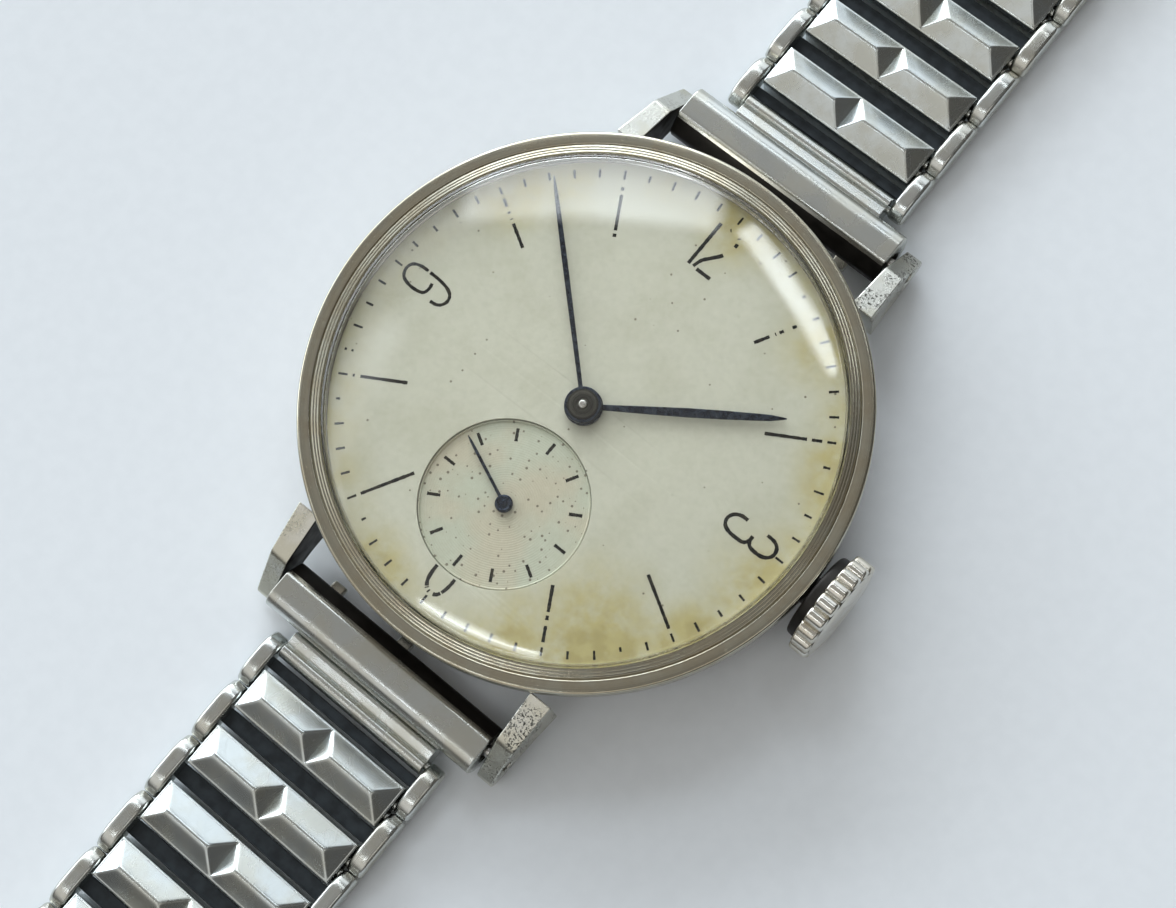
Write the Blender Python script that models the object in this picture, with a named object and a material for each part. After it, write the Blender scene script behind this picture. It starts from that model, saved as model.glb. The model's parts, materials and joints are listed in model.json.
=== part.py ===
"""Mechanical wristwatch with small seconds, on an expanding steel bracelet that lies open and flat.

Frame: the origin is the centre of the flat case back. +Y runs along the bracelet to 12 o'clock, +X out of
the crown at 3 o'clock and +Z out of the crystal. Sizes are in millimetres until a mesh is made, where MM
turns them into metres. Side a of the bracelet leaves the case at 12 o'clock, side b at 6 o'clock.
"""
import math

import bpy
from mathutils import Matrix, Vector

MM = 0.001
FULL_TURN = 2 * math.pi
SEGMENTS = 48          # around the case, the bezel and the crystal
SMALL_SEGMENTS = 12    # around pins, pivots and their holes

# Case
CASE_RADIUS = 17.0
CASE_BORE = 14.5
CASE_LOW = 1.25
CASE_HIGH = 5.2
SEAT_RADIUS = 16.0
SEAT_Z = 4.85
BEZEL_RADIUS = 17.5
BEZEL_LOW = 5.25
BEZEL_HIGH = 6.62
GROOVE_RADIUS = 16.5
LIP_RADIUS = 15.86
CRYSTAL_RADIUS = 15.8
CRYSTAL_THICKNESS = 0.9
CRYSTAL_LOW = 5.36
CRYSTAL_SHOULDER = 6.75
CRYSTAL_HIGH = 8.4

# Lugs and the spring bars between them
LUG_INNER_X = 8.45
LUG_OUTER_X = 9.6
LUG_FLARE = 0.075       # how much wider a lug grows for each millimetre inwards from its tip
LUG_TIP_Y = 21.1
BAR_Y = 19.45
BAR_Z = 1.9
BAR_RADIUS = 0.75
BAR_HALF_LENGTH = 7.9
BAR_PIVOT_RADIUS = 0.4
BAR_PIVOT_END_X = 9.3
LUG_HOLE_RADIUS = 0.5

# Dial and hands
DIAL_RADIUS = 15.8
DIAL_LOW = 4.9
DIAL_HIGH = 5.3
SECONDS_DIAL_RADIUS = 5.25
SECONDS_DIAL_HIGH = 5.05
SECONDS_Y = -7.56
HOUR_ANGLE = 55.4      # degrees clockwise from 12 o'clock, as the hands stand at rest
MINUTE_ANGLE = 313.3
SECOND_ANGLE = 293.0

# Crown, stem and keyless works
STEM_Z = 3.6
STEM_RADIUS = 0.6
STEM_INNER_X = 7.0
STEM_OUTER_X = 19.3
CROWN_RADIUS = 3.4
CROWN_ROOT_RADIUS = 3.08
CROWN_FLUTES = 18
CROWN_INNER_X = 18.3
CROWN_OUTER_X = 19.85
CROWN_RIBS_END_X = 19.6
TUBE_RADIUS = 0.95
TUBE_END_X = 18.7
WINDING_PINION_X = (7.75, 8.45)
WINDING_PINION_TEETH = 12
CROWN_WHEEL_TEETH = 31
CONTRATE_TEETH = 14
RATCHET_TEETH = 46
KEYLESS_MODULE = 0.2
CONTRATE_RADII = (1.25, 1.55)

# Movement plate and bridges
PLATE_RADIUS = 14.2
PLATE_LOW = 3.0
PLATE_HIGH = 4.2
BRIDGE_RADIUS = 13.6
BRIDGE_LOW = 1.0
BRIDGE_HIGH = 1.25
FOOT_RADIUS = 12.75
FOOT_TOP = 2.95
PIVOT_RADIUS = 0.2
PIVOT_HOLE = 0.28

# Going train: teeth and modules; each distance between centres follows from them
ADDENDUM = 0.8
DEDENDUM = 1.2
BARREL_TEETH, CENTRE_PINION_TEETH, BARREL_MODULE = 72, 12, 0.16
CENTRE_TEETH, THIRD_PINION_TEETH, CENTRE_MODULE = 64, 8, 0.125
THIRD_TEETH, FOURTH_PINION_TEETH, THIRD_MODULE = 60, 8, 0.13
FOURTH_TEETH, ESCAPE_PINION_TEETH, FOURTH_MODULE = 60, 6, 0.105
CANNON_TEETH, MINUTE_TEETH, MINUTE_PINION_TEETH, HOUR_TEETH, MOTION_MODULE = 10, 30, 8, 32, 0.11
BARREL_DIRECTION = 70.0    # degrees from +X, as seen from the crystal
ESCAPE_DIRECTION = 210.0
MINUTE_WHEEL_DIRECTION = 150.0
BARREL_DRUM_RADIUS = 5.3
ESCAPE_RADIUS = 2.2
ESCAPE_TEETH = 15
BALANCE_CENTRE = (-8.4, -3.2)
BALANCE_RADIUS = 3.4
PALLET_FROM_ESCAPE = 2.9

# Bracelet
ROWS = 6
PITCH = 4.35
FIRST_ROW_Y = 25.8
ROW_HALF_LENGTH = 5.75
ROW_HALF_WIDTH = 1.45
ROW_SIDE_HEIGHT = 1.75
ROW_RIDGE_HEIGHT = 2.6
ROW_WALL = 0.3
PIN_Z = 0.95
PIN_RADIUS = 0.3
HINGE_PIN = 0.55       # the pin that a row's next links turn on, outwards from the row's middle
SLIDE_PIN = -0.3       # the pin that draws towards the row's wall as the bracelet stretches
LINK_INNER_X = 5.85
LINK_OUTER_X = 7.0
LINK_END_RADIUS = 0.4
LINK_HEIGHT = 1.85
LEAF_LOW = 0.6
LEAF_HIGH = 0.85
LEAF_CLEARANCE = 0.2
END_TUBE = ((-1.55, 0.3), (-1.5, -0.5), (-1.0, -1.2), (0.0, -1.55), (1.0, -1.25), (1.6, -0.6), (1.85, 0.3),
            (1.75, 1.0), (1.2, 1.5), (-0.45, 1.5), (-1.2, 1.0))    # round the spring bar, outwards and up
END_TUBE_HALF_LENGTH = 8.2
KNUCKLE_Y = 22.5
KNUCKLE_RADIUS = 0.75

# Clasp
CLASP_GAP = 2.1        # from a clasp part's hinge pin to its plate
CLASP_HALF_WIDTH = 6.9
CLASP_BASE_LENGTH = 34.0
CLASP_HOOK_LENGTH = 10.0
CLASP_PLATE = 0.8
CLASP_WALL_HEIGHT = 1.7
COVER_PIVOT_Z = 1.3
COVER_PIVOT_RADIUS = 0.33
COVER_HALF_WIDTH = 6.3
COVER_LENGTH = 16.0

FINISHES = {           # colour, metallic, roughness
    "case_steel": ((0.62, 0.58, 0.53), 1.0, 0.32),
    "bracelet_steel": ((0.66, 0.65, 0.63), 1.0, 0.25),
    "crystal": ((0.92, 0.93, 0.92), 0.0, 0.05),
    "dial": ((0.62, 0.60, 0.47), 0.2, 0.6),
    "blued_steel": ((0.03, 0.035, 0.06), 1.0, 0.3),
    "brass": ((0.78, 0.62, 0.30), 1.0, 0.35),
    "nickel": ((0.72, 0.70, 0.66), 1.0, 0.3),
    "movement_steel": ((0.6, 0.6, 0.6), 1.0, 0.2),
}


# ---------------------------------------------------------------- solids

def new_object(name, points, faces):
    """A mesh object from points in millimetres."""
    mesh = bpy.data.meshes.new(name)
    mesh.from_pydata([Vector(point) * MM for point in points], [], faces)
    mesh.update()
    solid = bpy.data.objects.new(name, mesh)
    bpy.context.collection.objects.link(solid)
    return solid


def anticlockwise(outline):
    """The outline's points in the order that turns left."""
    area = 0.0
    for (u0, v0), (u1, v1) in zip(outline, outline[1:] + outline[:1]):
        area += u0 * v1 - u1 * v0
    return outline if area > 0 else outline[::-1]


def placed(axis, u, v, w):
    """A point w along the axis, at (u, v) across it: (x, y) across Z, or (y, z) across X."""
    return (u, v, w) if axis == "z" else (w, u, v)


def prism(outline, low, high, axis="z"):
    """A solid of constant section from low to high along the axis."""
    outline = anticlockwise(outline)
    count = len(outline)
    points = [placed(axis, u, v, w) for w in (low, high) for u, v in outline]
    faces = [tuple(reversed(range(count))), tuple(range(count, 2 * count))]
    for i in range(count):
        j = (i + 1) % count
        faces.append((i, j, count + j, count + i))
    return new_object("prism", points, faces)


def turned(profile, centre=(0.0, 0.0), axis="z", segments=SEGMENTS):
    """A solid of revolution: profile is a closed outline of (radius, height along the axis)."""
    profile = anticlockwise(profile)
    points = []
    rings = []
    for radius, height in profile:
        if radius == 0:
            rings.append([len(points)] * segments)
            points.append(placed(axis, centre[0], centre[1], height))
            continue
        rings.append(list(range(len(points), len(points) + segments)))
        for k in range(segments):
            angle = FULL_TURN * k / segments
            u = centre[0] + radius * math.cos(angle)
            v = centre[1] + radius * math.sin(angle)
            points.append(placed(axis, u, v, height))
    faces = []
    for ring, following in zip(rings, rings[1:] + rings[:1]):
        for k in range(segments):
            n = (k + 1) % segments
            corners = list(dict.fromkeys((ring[k], ring[n], following[n], following[k])))
            if len(corners) > 2:
                faces.append(tuple(corners))
    return new_object("turned", points, faces)


def cylinder(radius, low, high, centre=(0.0, 0.0), axis="z", segments=SMALL_SEGMENTS):
    """A round bar along the axis."""
    return prism(circle(radius, segments, centre), low, high, axis)


def box(low, high):
    """A block between two corners."""
    outline = [(low[0], low[1]), (high[0], low[1]), (high[0], high[1]), (low[0], high[1])]
    return prism(outline, low[2], high[2])


def combine(operation, target, tools):
    """Joins the tools to the target, or cuts them out of it, and removes them."""
    for tool in tools:
        modifier = target.modifiers.new("combine", "BOOLEAN")
        modifier.operation = operation
        modifier.solver = "EXACT"
        modifier.object = tool
        bpy.context.view_layer.objects.active = target
        bpy.ops.object.modifier_apply(modifier=modifier.name)
        bpy.data.objects.remove(tool)
    return target


def join(target, *tools):
    return combine("UNION", target, tools)


def cut(target, *tools):
    return combine("DIFFERENCE", target, tools)


def finish(name, solid, look, pivot=(0.0, 0.0, 0.0)):
    """Names the sub-part, puts its origin on its joint's axis and gives it its own material."""
    colour, metallic, roughness = FINISHES[look]
    material = bpy.data.materials.new(name + "_" + look)
    material.use_nodes = True
    shader = material.node_tree.nodes["Principled BSDF"]
    shader.inputs["Base Color"].default_value = (*colour, 1.0)
    shader.inputs["Metallic"].default_value = metallic
    shader.inputs["Roughness"].default_value = roughness
    solid.data.materials.clear()
    solid.data.materials.append(material)
    solid.data.transform(Matrix.Translation(-Vector(pivot) * MM))
    solid.data.shade_smooth()
    solid.data.set_sharp_from_angle(angle=math.radians(30))
    solid.location = Vector(pivot) * MM
    solid.name = name
    solid.data.name = name
    return solid


# ---------------------------------------------------------------- outlines

def circle(radius, count, centre=(0.0, 0.0), start=0.0):
    return arc(radius, start, start + 360.0 * (count - 1) / count, count, centre)


def arc(radius, start, end, count, centre=(0.0, 0.0)):
    """Points on an arc between two angles in degrees."""
    outline = []
    for k in range(count):
        angle = math.radians(start + (end - start) * k / (count - 1))
        outline.append((centre[0] + radius * math.cos(angle), centre[1] + radius * math.sin(angle)))
    return outline


def clockwise_from_twelve(angle):
    """A dial angle as degrees from +X."""
    return 90.0 - angle


def gear(teeth, module, centre=(0.0, 0.0), tooth_at=0.0):
    """A toothed outline, with the middle of one tooth at tooth_at degrees."""
    pitch_radius = module * teeth / 2
    outline = []
    for k in range(teeth):
        for radius, offset in ((pitch_radius + ADDENDUM * module, 0.0),
                               (pitch_radius - DEDENDUM * module, 0.5)):
            angle = math.radians(tooth_at) + FULL_TURN * (k + offset) / teeth
            outline.append((centre[0] + radius * math.cos(angle), centre[1] + radius * math.sin(angle)))
    return outline


def step(start, direction, distance):
    """The point at a distance from start, in a direction in degrees."""
    angle = math.radians(direction)
    return (start[0] + distance * math.cos(angle), start[1] + distance * math.sin(angle))


def direction_between(start, end):
    return math.degrees(math.atan2(end[1] - start[1], end[0] - start[0]))


def gap_at(direction, teeth):
    """Where a gear's tooth stands for a gap to face the direction, in degrees."""
    return direction + 180.0 / teeth


# ---------------------------------------------------------------- centres of the movement

def third_centre():
    """The third wheel stands where it reaches both the centre wheel and the fourth pinion."""
    from_centre = CENTRE_MODULE * (CENTRE_TEETH + THIRD_PINION_TEETH) / 2
    from_fourth = THIRD_MODULE * (THIRD_TEETH + FOURTH_PINION_TEETH) / 2
    reach = -SECONDS_Y
    y = -(from_centre ** 2 - from_fourth ** 2 + reach ** 2) / (2 * reach)
    return (math.sqrt(from_centre ** 2 - y ** 2), y)


CENTRE = (0.0, 0.0)
THIRD = third_centre()
FOURTH = (0.0, SECONDS_Y)
BARREL = step(CENTRE, BARREL_DIRECTION, BARREL_MODULE * (BARREL_TEETH + CENTRE_PINION_TEETH) / 2)
ESCAPE = step(FOURTH, ESCAPE_DIRECTION, FOURTH_MODULE * (FOURTH_TEETH + ESCAPE_PINION_TEETH) / 2)
PALLET_DIRECTION = direction_between(ESCAPE, BALANCE_CENTRE)
PALLET = step(ESCAPE, PALLET_DIRECTION, PALLET_FROM_ESCAPE)
CROWN_WHEEL_CENTRE = (sum(WINDING_PINION_X) / 2 - sum(CONTRATE_RADII) / 2, 0.0)
MINUTE = step(CENTRE, MINUTE_WHEEL_DIRECTION, MOTION_MODULE * (CANNON_TEETH + MINUTE_TEETH) / 2)


# ---------------------------------------------------------------- case

def make_lug(side, hand):
    """A lug with two flat slopes on top; it grows wider towards the case."""
    lug = [(14.1, 1.35), (17.0, 1.3), (20.7, 0.45), (LUG_TIP_Y, 0.8), (LUG_TIP_Y, 1.2), (18.6, 3.7),
           (14.1, 5.1)]
    solid = prism([(side * y, z) for y, z in lug], *sorted((hand * LUG_INNER_X, hand * LUG_OUTER_X)), "x")
    for vertex in solid.data.vertices:
        if abs(vertex.co.x) > (LUG_INNER_X + LUG_OUTER_X) / 2 * MM:
            vertex.co.x += hand * LUG_FLARE * (LUG_TIP_Y * MM - abs(vertex.co.y))
    return solid


def make_case_middle():
    ring = turned([(CASE_BORE, CASE_LOW), (CASE_RADIUS - 0.3, CASE_LOW), (CASE_RADIUS, CASE_LOW + 0.4),
                   (CASE_RADIUS, CASE_HIGH), (SEAT_RADIUS, CASE_HIGH), (SEAT_RADIUS, SEAT_Z),
                   (CASE_BORE, SEAT_Z)])
    lugs = []
    holes = []
    for side in (1, -1):
        lugs += [make_lug(side, 1), make_lug(side, -1)]
        holes.append(cylinder(LUG_HOLE_RADIUS, -LUG_OUTER_X - 1, LUG_OUTER_X + 1, (side * BAR_Y, BAR_Z), "x"))
    tube = cylinder(TUBE_RADIUS, SEAT_RADIUS, TUBE_END_X, (0.0, STEM_Z), "x", 16)
    tube_bore = cylinder(STEM_RADIUS + 0.15, CASE_BORE - 1, TUBE_END_X + 1, (0.0, STEM_Z), "x", 16)
    cavity = cylinder(CASE_BORE, CASE_LOW - 1, CASE_HIGH + 1, segments=SEGMENTS)
    lug_stock = join(lugs[0], *lugs[1:])
    cut(lug_stock, cavity)
    solid = join(ring, lug_stock, tube)
    cut(solid, tube_bore, *holes)
    finish("case_middle", solid, "case_steel")


def make_case_back():
    rim = CASE_RADIUS - 0.4
    snap = CASE_BORE - 0.05
    solid = turned([(0, 0), (14.4, 0), (rim, 0.75), (rim, CASE_LOW - 0.05), (snap, CASE_LOW - 0.05),
                    (snap, CASE_LOW + 0.4), (snap - 0.4, CASE_LOW + 0.4), (snap - 0.4, 0.7), (0, 0.7)])
    finish("case_back", solid, "case_steel")


def make_bezel():
    top = 6.36
    solid = turned([(SEAT_RADIUS + 0.05, BEZEL_LOW), (BEZEL_RADIUS, BEZEL_LOW), (BEZEL_RADIUS, top - 0.2),
                    (BEZEL_RADIUS - 0.12, top - 0.08), (GROOVE_RADIUS + 0.06, top),
                    (GROOVE_RADIUS, top - 0.12), (GROOVE_RADIUS - 0.06, top + 0.04),
                    (LIP_RADIUS + 0.1, BEZEL_HIGH),
                    (LIP_RADIUS, BEZEL_HIGH - 0.06), (LIP_RADIUS, CRYSTAL_LOW + 0.04),
                    (SEAT_RADIUS + 0.05, CRYSTAL_LOW + 0.04)])
    finish("bezel", solid, "case_steel")


def dome(radius, edge_z, apex_z, count):
    """Points of a shallow dome from its edge to its apex, as (radius, height)."""
    rise = apex_z - edge_z
    sphere = (radius ** 2 + rise ** 2) / (2 * rise)
    points = []
    for k in range(count):
        r = radius * (1 - k / (count - 1))
        points.append((r, apex_z - sphere + math.sqrt(sphere ** 2 - r ** 2)))
    return points


def make_crystal():
    inside = CRYSTAL_RADIUS - CRYSTAL_THICKNESS
    outer = dome(CRYSTAL_RADIUS - 0.35, CRYSTAL_SHOULDER, CRYSTAL_HIGH, 5)
    inner = dome(inside, CRYSTAL_SHOULDER - 0.4, CRYSTAL_HIGH - CRYSTAL_THICKNESS, 5)
    solid = turned([(inside, CRYSTAL_LOW), (CRYSTAL_RADIUS, CRYSTAL_LOW),
                    (CRYSTAL_RADIUS, CRYSTAL_SHOULDER - 0.3)] + outer + inner[::-1])
    finish("crystal", solid, "crystal")


# ---------------------------------------------------------------- dial and hands

def make_dials():
    dial = cylinder(DIAL_RADIUS, DIAL_LOW, DIAL_HIGH, segments=SEGMENTS)
    cut(dial, cylinder(SECONDS_DIAL_RADIUS + 0.05, DIAL_LOW - 1, DIAL_HIGH + 1, FOURTH, segments=32),
        cylinder(0.85, DIAL_LOW - 1, DIAL_HIGH + 1, segments=16))
    finish("dial", dial, "dial")
    flange_low = 4.7
    flange_high = DIAL_LOW - 0.05
    seconds_dial = turned([(0.38, flange_low), (SECONDS_DIAL_RADIUS + 0.35, flange_low),
                           (SECONDS_DIAL_RADIUS + 0.35, flange_high), (SECONDS_DIAL_RADIUS, flange_high),
                           (SECONDS_DIAL_RADIUS, SECONDS_DIAL_HIGH), (0.38, SECONDS_DIAL_HIGH)], FOURTH,
                          segments=32)
    finish("small_seconds_dial", seconds_dial, "dial")


def make_hand(name, centre, angle, root_width, widths, boss, bore, low, high):
    """A hand standing at a dial angle. Its blade's width is given at distances from its centre."""
    half_root = math.degrees(math.asin(root_width / 2 / boss))
    outline = arc(boss, half_root, 360 - half_root, 18)
    outline += [(distance, -width / 2) for distance, width in widths]
    outline += [(distance, width / 2) for distance, width in reversed(widths)]
    turn = math.radians(clockwise_from_twelve(angle))
    placed_outline = []
    for u, v in outline:
        placed_outline.append((centre[0] + u * math.cos(turn) - v * math.sin(turn),
                               centre[1] + u * math.sin(turn) + v * math.cos(turn)))
    solid = prism(placed_outline, low, high)
    cut(solid, cylinder(bore, low - 1, high + 1, centre))
    finish(name, solid, "blued_steel", (*centre, low))


def make_hands():
    make_hand("hour_hand", CENTRE, HOUR_ANGLE, 0.34,
              [(4.0, 0.48), (6.3, 0.57), (8.5, 0.53), (10.6, 0.42), (11.3, 0.36), (12.2, 0.1)],
              1.2, 0.79, 5.55, 5.7)
    make_hand("minute_hand", CENTRE, MINUTE_ANGLE, 0.26,
              [(6.0, 0.32), (9.5, 0.34), (12.5, 0.28), (13.9, 0.22), (14.7, 0.08)],
              0.95, 0.45, 6.02, 6.17)
    make_hand("seconds_hand", FOURTH, SECOND_ANGLE, 0.22, [(3.5, 0.2), (4.4, 0.16), (4.8, 0.06)],
              0.55, 0.28, 5.27, 5.38)


# ---------------------------------------------------------------- movement

def make_main_plate():
    solid = cylinder(PLATE_RADIUS, PLATE_LOW, PLATE_HIGH, segments=SEGMENTS)
    holes = [(CENTRE, 0.4), (FOURTH, 0.35), (THIRD, PIVOT_HOLE), (ESCAPE, PIVOT_HOLE), (PALLET, PIVOT_HOLE),
             (BALANCE_CENTRE, PIVOT_HOLE), (BARREL, 0.5)]
    for centre, radius in holes:
        cut(solid, cylinder(radius, PLATE_LOW - 1, PLATE_HIGH + 1, centre))
    cut(solid, box((STEM_INNER_X - 0.5, -0.75, PLATE_LOW - 1), (PLATE_RADIUS + 1, 0.75, PLATE_HIGH + 1)),
        box((WINDING_PINION_X[0] - 0.25, -1.45, PLATE_LOW - 1),
            (WINDING_PINION_X[1] + 0.25, 1.45, PLATE_HIGH + 1)))
    join(solid, cylinder(0.2, PLATE_HIGH - 0.4, 4.78, MINUTE))
    finish("main_plate", solid, "nickel")


def foot(start, end):
    """A bridge's foot: a curved block at the plate's rim between two angles."""
    outline = arc(BRIDGE_RADIUS, start, end, 8) + arc(FOOT_RADIUS, end, start, 8)
    return prism(outline, BRIDGE_HIGH - 0.1, FOOT_TOP)


def make_bridges():
    barrel_bridge = prism(arc(BRIDGE_RADIUS, 1.3, 178.7, 24), BRIDGE_LOW, BRIDGE_HIGH)
    join(barrel_bridge, foot(25, 45), foot(105, 168))
    cut(barrel_bridge, cylinder(0.7, BRIDGE_LOW - 1, BRIDGE_HIGH + 0.5, BARREL),
        cylinder(0.65, BRIDGE_LOW - 1, BRIDGE_HIGH + 0.5, CROWN_WHEEL_CENTRE))
    finish("barrel_bridge", barrel_bridge, "nickel")
    train_bridge = prism([(-2.2, 0.1)] + arc(BRIDGE_RADIUS, -128, -1.6, 18), BRIDGE_LOW, BRIDGE_HIGH)
    join(train_bridge, foot(-80, -20))
    for centre, radius in ((CENTRE, 0.45), (THIRD, PIVOT_HOLE), (FOURTH, PIVOT_HOLE + 0.05),
                           (ESCAPE, PIVOT_HOLE), (PALLET, PIVOT_HOLE), (CROWN_WHEEL_CENTRE, 0.65)):
        cut(train_bridge, cylinder(radius, BRIDGE_LOW - 1, BRIDGE_HIGH + 0.5, centre))
    finish("train_bridge", train_bridge, "nickel")
    rim_x = -12.9
    half_width = 1.6
    x, y = BALANCE_CENTRE
    outline = [(rim_x, y + half_width), (rim_x, y - half_width)] + arc(1.2, -80, 80, 8, BALANCE_CENTRE)
    balance_cock = prism(outline, BRIDGE_LOW - 0.1, BRIDGE_HIGH)
    join(balance_cock, box((rim_x, y - half_width, BRIDGE_HIGH - 0.1),
                           (rim_x + 0.9, y + half_width, FOOT_TOP)))
    cut(balance_cock, cylinder(PIVOT_HOLE, BRIDGE_LOW - 1, BRIDGE_HIGH + 1, BALANCE_CENTRE))
    finish("balance_cock", balance_cock, "nickel")


def make_wheel(name, centre, wheel, wheel_z, pinion, pinion_z, arbor_radius, arbor_z, look="brass"):
    """A wheel riveted to its pinion, on one arbor."""
    solid = prism(wheel, *wheel_z)
    join(solid, prism(pinion, *pinion_z), cylinder(arbor_radius, *arbor_z, centre))
    return finish(name, solid, look, (*centre, wheel_z[0]))


def make_going_train():
    to_third = direction_between(CENTRE, THIRD)
    to_fourth = direction_between(THIRD, FOURTH)
    make_wheel("centre_wheel", CENTRE, gear(CENTRE_TEETH, CENTRE_MODULE, CENTRE, to_third), (2.72, 2.88),
               gear(CENTRE_PINION_TEETH, BARREL_MODULE, CENTRE, BARREL_DIRECTION), (1.8, 2.3),
               0.25, (1.02, 6.2))
    make_wheel("third_wheel", THIRD, gear(THIRD_TEETH, THIRD_MODULE, THIRD, to_fourth), (2.33, 2.48),
               gear(THIRD_PINION_TEETH, CENTRE_MODULE, THIRD, gap_at(to_third + 180, THIRD_PINION_TEETH)),
               (2.4, 2.95), PIVOT_RADIUS, (1.02, 4.18))
    make_wheel("fourth_wheel", FOURTH, gear(FOURTH_TEETH, FOURTH_MODULE, FOURTH, ESCAPE_DIRECTION),
               (2.74, 2.88),
               gear(FOURTH_PINION_TEETH, THIRD_MODULE, FOURTH, gap_at(to_fourth + 180, FOURTH_PINION_TEETH)),
               (2.25, 2.8), 0.22, (1.02, 5.36))
    escape_outline = []
    for k in range(ESCAPE_TEETH):
        escape_outline.append(step(ESCAPE, 360.0 * k / ESCAPE_TEETH, ESCAPE_RADIUS))
        escape_outline.append(step(ESCAPE, 360.0 * (k + 0.2) / ESCAPE_TEETH, ESCAPE_RADIUS - 0.5))
        escape_outline.append(step(ESCAPE, 360.0 * (k + 0.7) / ESCAPE_TEETH, ESCAPE_RADIUS - 0.5))
    make_wheel("escape_wheel", ESCAPE, escape_outline, (1.75, 1.9),
               gear(ESCAPE_PINION_TEETH, FOURTH_MODULE, ESCAPE,
                    gap_at(ESCAPE_DIRECTION + 180, ESCAPE_PINION_TEETH)),
               (2.6, 2.95), 0.15, (1.02, 4.18), "movement_steel")


def make_barrel():
    solid = turned([(0.65, 1.35), (BARREL_DRUM_RADIUS, 1.35), (BARREL_DRUM_RADIUS, 2.6), (0.65, 2.6),
                    (0.65, 2.45), (BARREL_DRUM_RADIUS - 0.2, 2.45), (BARREL_DRUM_RADIUS - 0.2, 1.5),
                    (0.65, 1.5)],
                   BARREL, segments=24)
    facing_centre = gap_at(BARREL_DIRECTION + 180, BARREL_TEETH)
    teeth = prism(gear(BARREL_TEETH, BARREL_MODULE, BARREL, facing_centre), 1.95, 2.15)
    cut(teeth, cylinder(BARREL_DRUM_RADIUS - 0.15, 1.0, 3.0, BARREL, segments=24))
    join(solid, teeth)
    finish("mainspring_barrel", solid, "brass", (*BARREL, 1.35))


def make_escapement():
    along = math.radians(PALLET_DIRECTION)

    def from_pallet(a, b):
        return (PALLET[0] + a * math.cos(along) - b * math.sin(along),
                PALLET[1] + a * math.sin(along) + b * math.cos(along))

    half = [(-0.25, 0), (-0.1, 1.7), (-1.05, 1.75), (-1.05, 2.05), (0.25, 2.05), (0.3, 0.2), (3.8, 0.2),
            (4.4, 0.5), (4.4, 0.15), (4.0, 0.15)]
    outline = half + [(a, -b) for a, b in half[:0:-1]]
    fork = prism([from_pallet(a, b) for a, b in outline], 1.75, 1.9)
    join(fork, cylinder(0.18, 1.02, 4.18, PALLET))
    finish("pallet_fork", fork, "movement_steel", (*PALLET, 1.75))

    rim = turned([(BALANCE_RADIUS - 0.4, 2.2), (BALANCE_RADIUS, 2.2), (BALANCE_RADIUS, 2.6),
                  (BALANCE_RADIUS - 0.4, 2.6)], BALANCE_CENTRE, segments=32)
    x, y = BALANCE_CENTRE
    join(rim, box((x - BALANCE_RADIUS + 0.2, y - 0.25, 2.3), (x + BALANCE_RADIUS - 0.2, y + 0.25, 2.5)),
         cylinder(0.75, 2.0, 2.35, BALANCE_CENTRE, segments=16),
         cylinder(PIVOT_RADIUS, 0.92, 4.18, BALANCE_CENTRE),
         cylinder(0.1, 1.94, 2.1, step(BALANCE_CENTRE, PALLET_DIRECTION + 180, 0.55)))
    finish("balance_wheel", rim, "brass", (*BALANCE_CENTRE, 2.2))

    turns = 4.5
    per_turn = 16
    inner_radius, outer_radius, strip = 0.5, 2.3, 0.12
    inside = []
    outside = []
    count = int(turns * per_turn)
    for k in range(count + 1):
        radius = inner_radius + (outer_radius - inner_radius) * k / count
        angle = 360.0 * k / per_turn
        inside.append(step(BALANCE_CENTRE, angle, radius))
        outside.append(step(BALANCE_CENTRE, angle, radius + strip))
    finish("hairspring", prism(inside + outside[::-1], 1.4, 1.55), "blued_steel")


def make_motion_works():
    cannon = prism(gear(CANNON_TEETH, MOTION_MODULE, CENTRE, MINUTE_WHEEL_DIRECTION), 4.25, 4.45)
    join(cannon, cylinder(0.41, 4.3, 6.15))
    cut(cannon, cylinder(0.3, 4.0, 6.5))
    finish("cannon_pinion", cannon, "movement_steel", (0, 0, 4.25))
    facing_centre = MINUTE_WHEEL_DIRECTION + 180
    minute = prism(gear(MINUTE_TEETH, MOTION_MODULE, MINUTE, gap_at(facing_centre, MINUTE_TEETH)), 4.28, 4.42)
    join(minute, prism(gear(MINUTE_PINION_TEETH, MOTION_MODULE, MINUTE, facing_centre), 4.35, 4.75))
    cut(minute, cylinder(0.26, 4.0, 5.0, MINUTE))
    finish("minute_wheel", minute, "brass", (*MINUTE, 4.28))
    facing_minute_wheel = gap_at(MINUTE_WHEEL_DIRECTION, HOUR_TEETH)
    hour = prism(gear(HOUR_TEETH, MOTION_MODULE, CENTRE, facing_minute_wheel), 4.55, 4.68)
    join(hour, cylinder(0.75, 4.6, 5.68, segments=16))
    cut(hour, cylinder(0.48, 4.0, 6.0))
    finish("hour_wheel", hour, "brass", (0, 0, 4.55))


def contrate_ring(centre, inner, outer, teeth, low, root, tip):
    """A ring with upright teeth on its top edge."""
    count = 2 * teeth
    points = []
    for radius, heights in ((inner, (low, low)), (outer, (low, low)),
                            (outer, (root, tip)), (inner, (root, tip))):
        for k in range(count):
            angle = FULL_TURN * k / count
            points.append((centre[0] + radius * math.cos(angle), centre[1] + radius * math.sin(angle),
                           heights[k % 2]))
    faces = []
    for ring in range(4):
        following = (ring + 1) % 4
        for k in range(count):
            n = (k + 1) % count
            faces.append((ring * count + k, ring * count + n, following * count + n, following * count + k))
    return new_object("contrate", points, faces)


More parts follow.
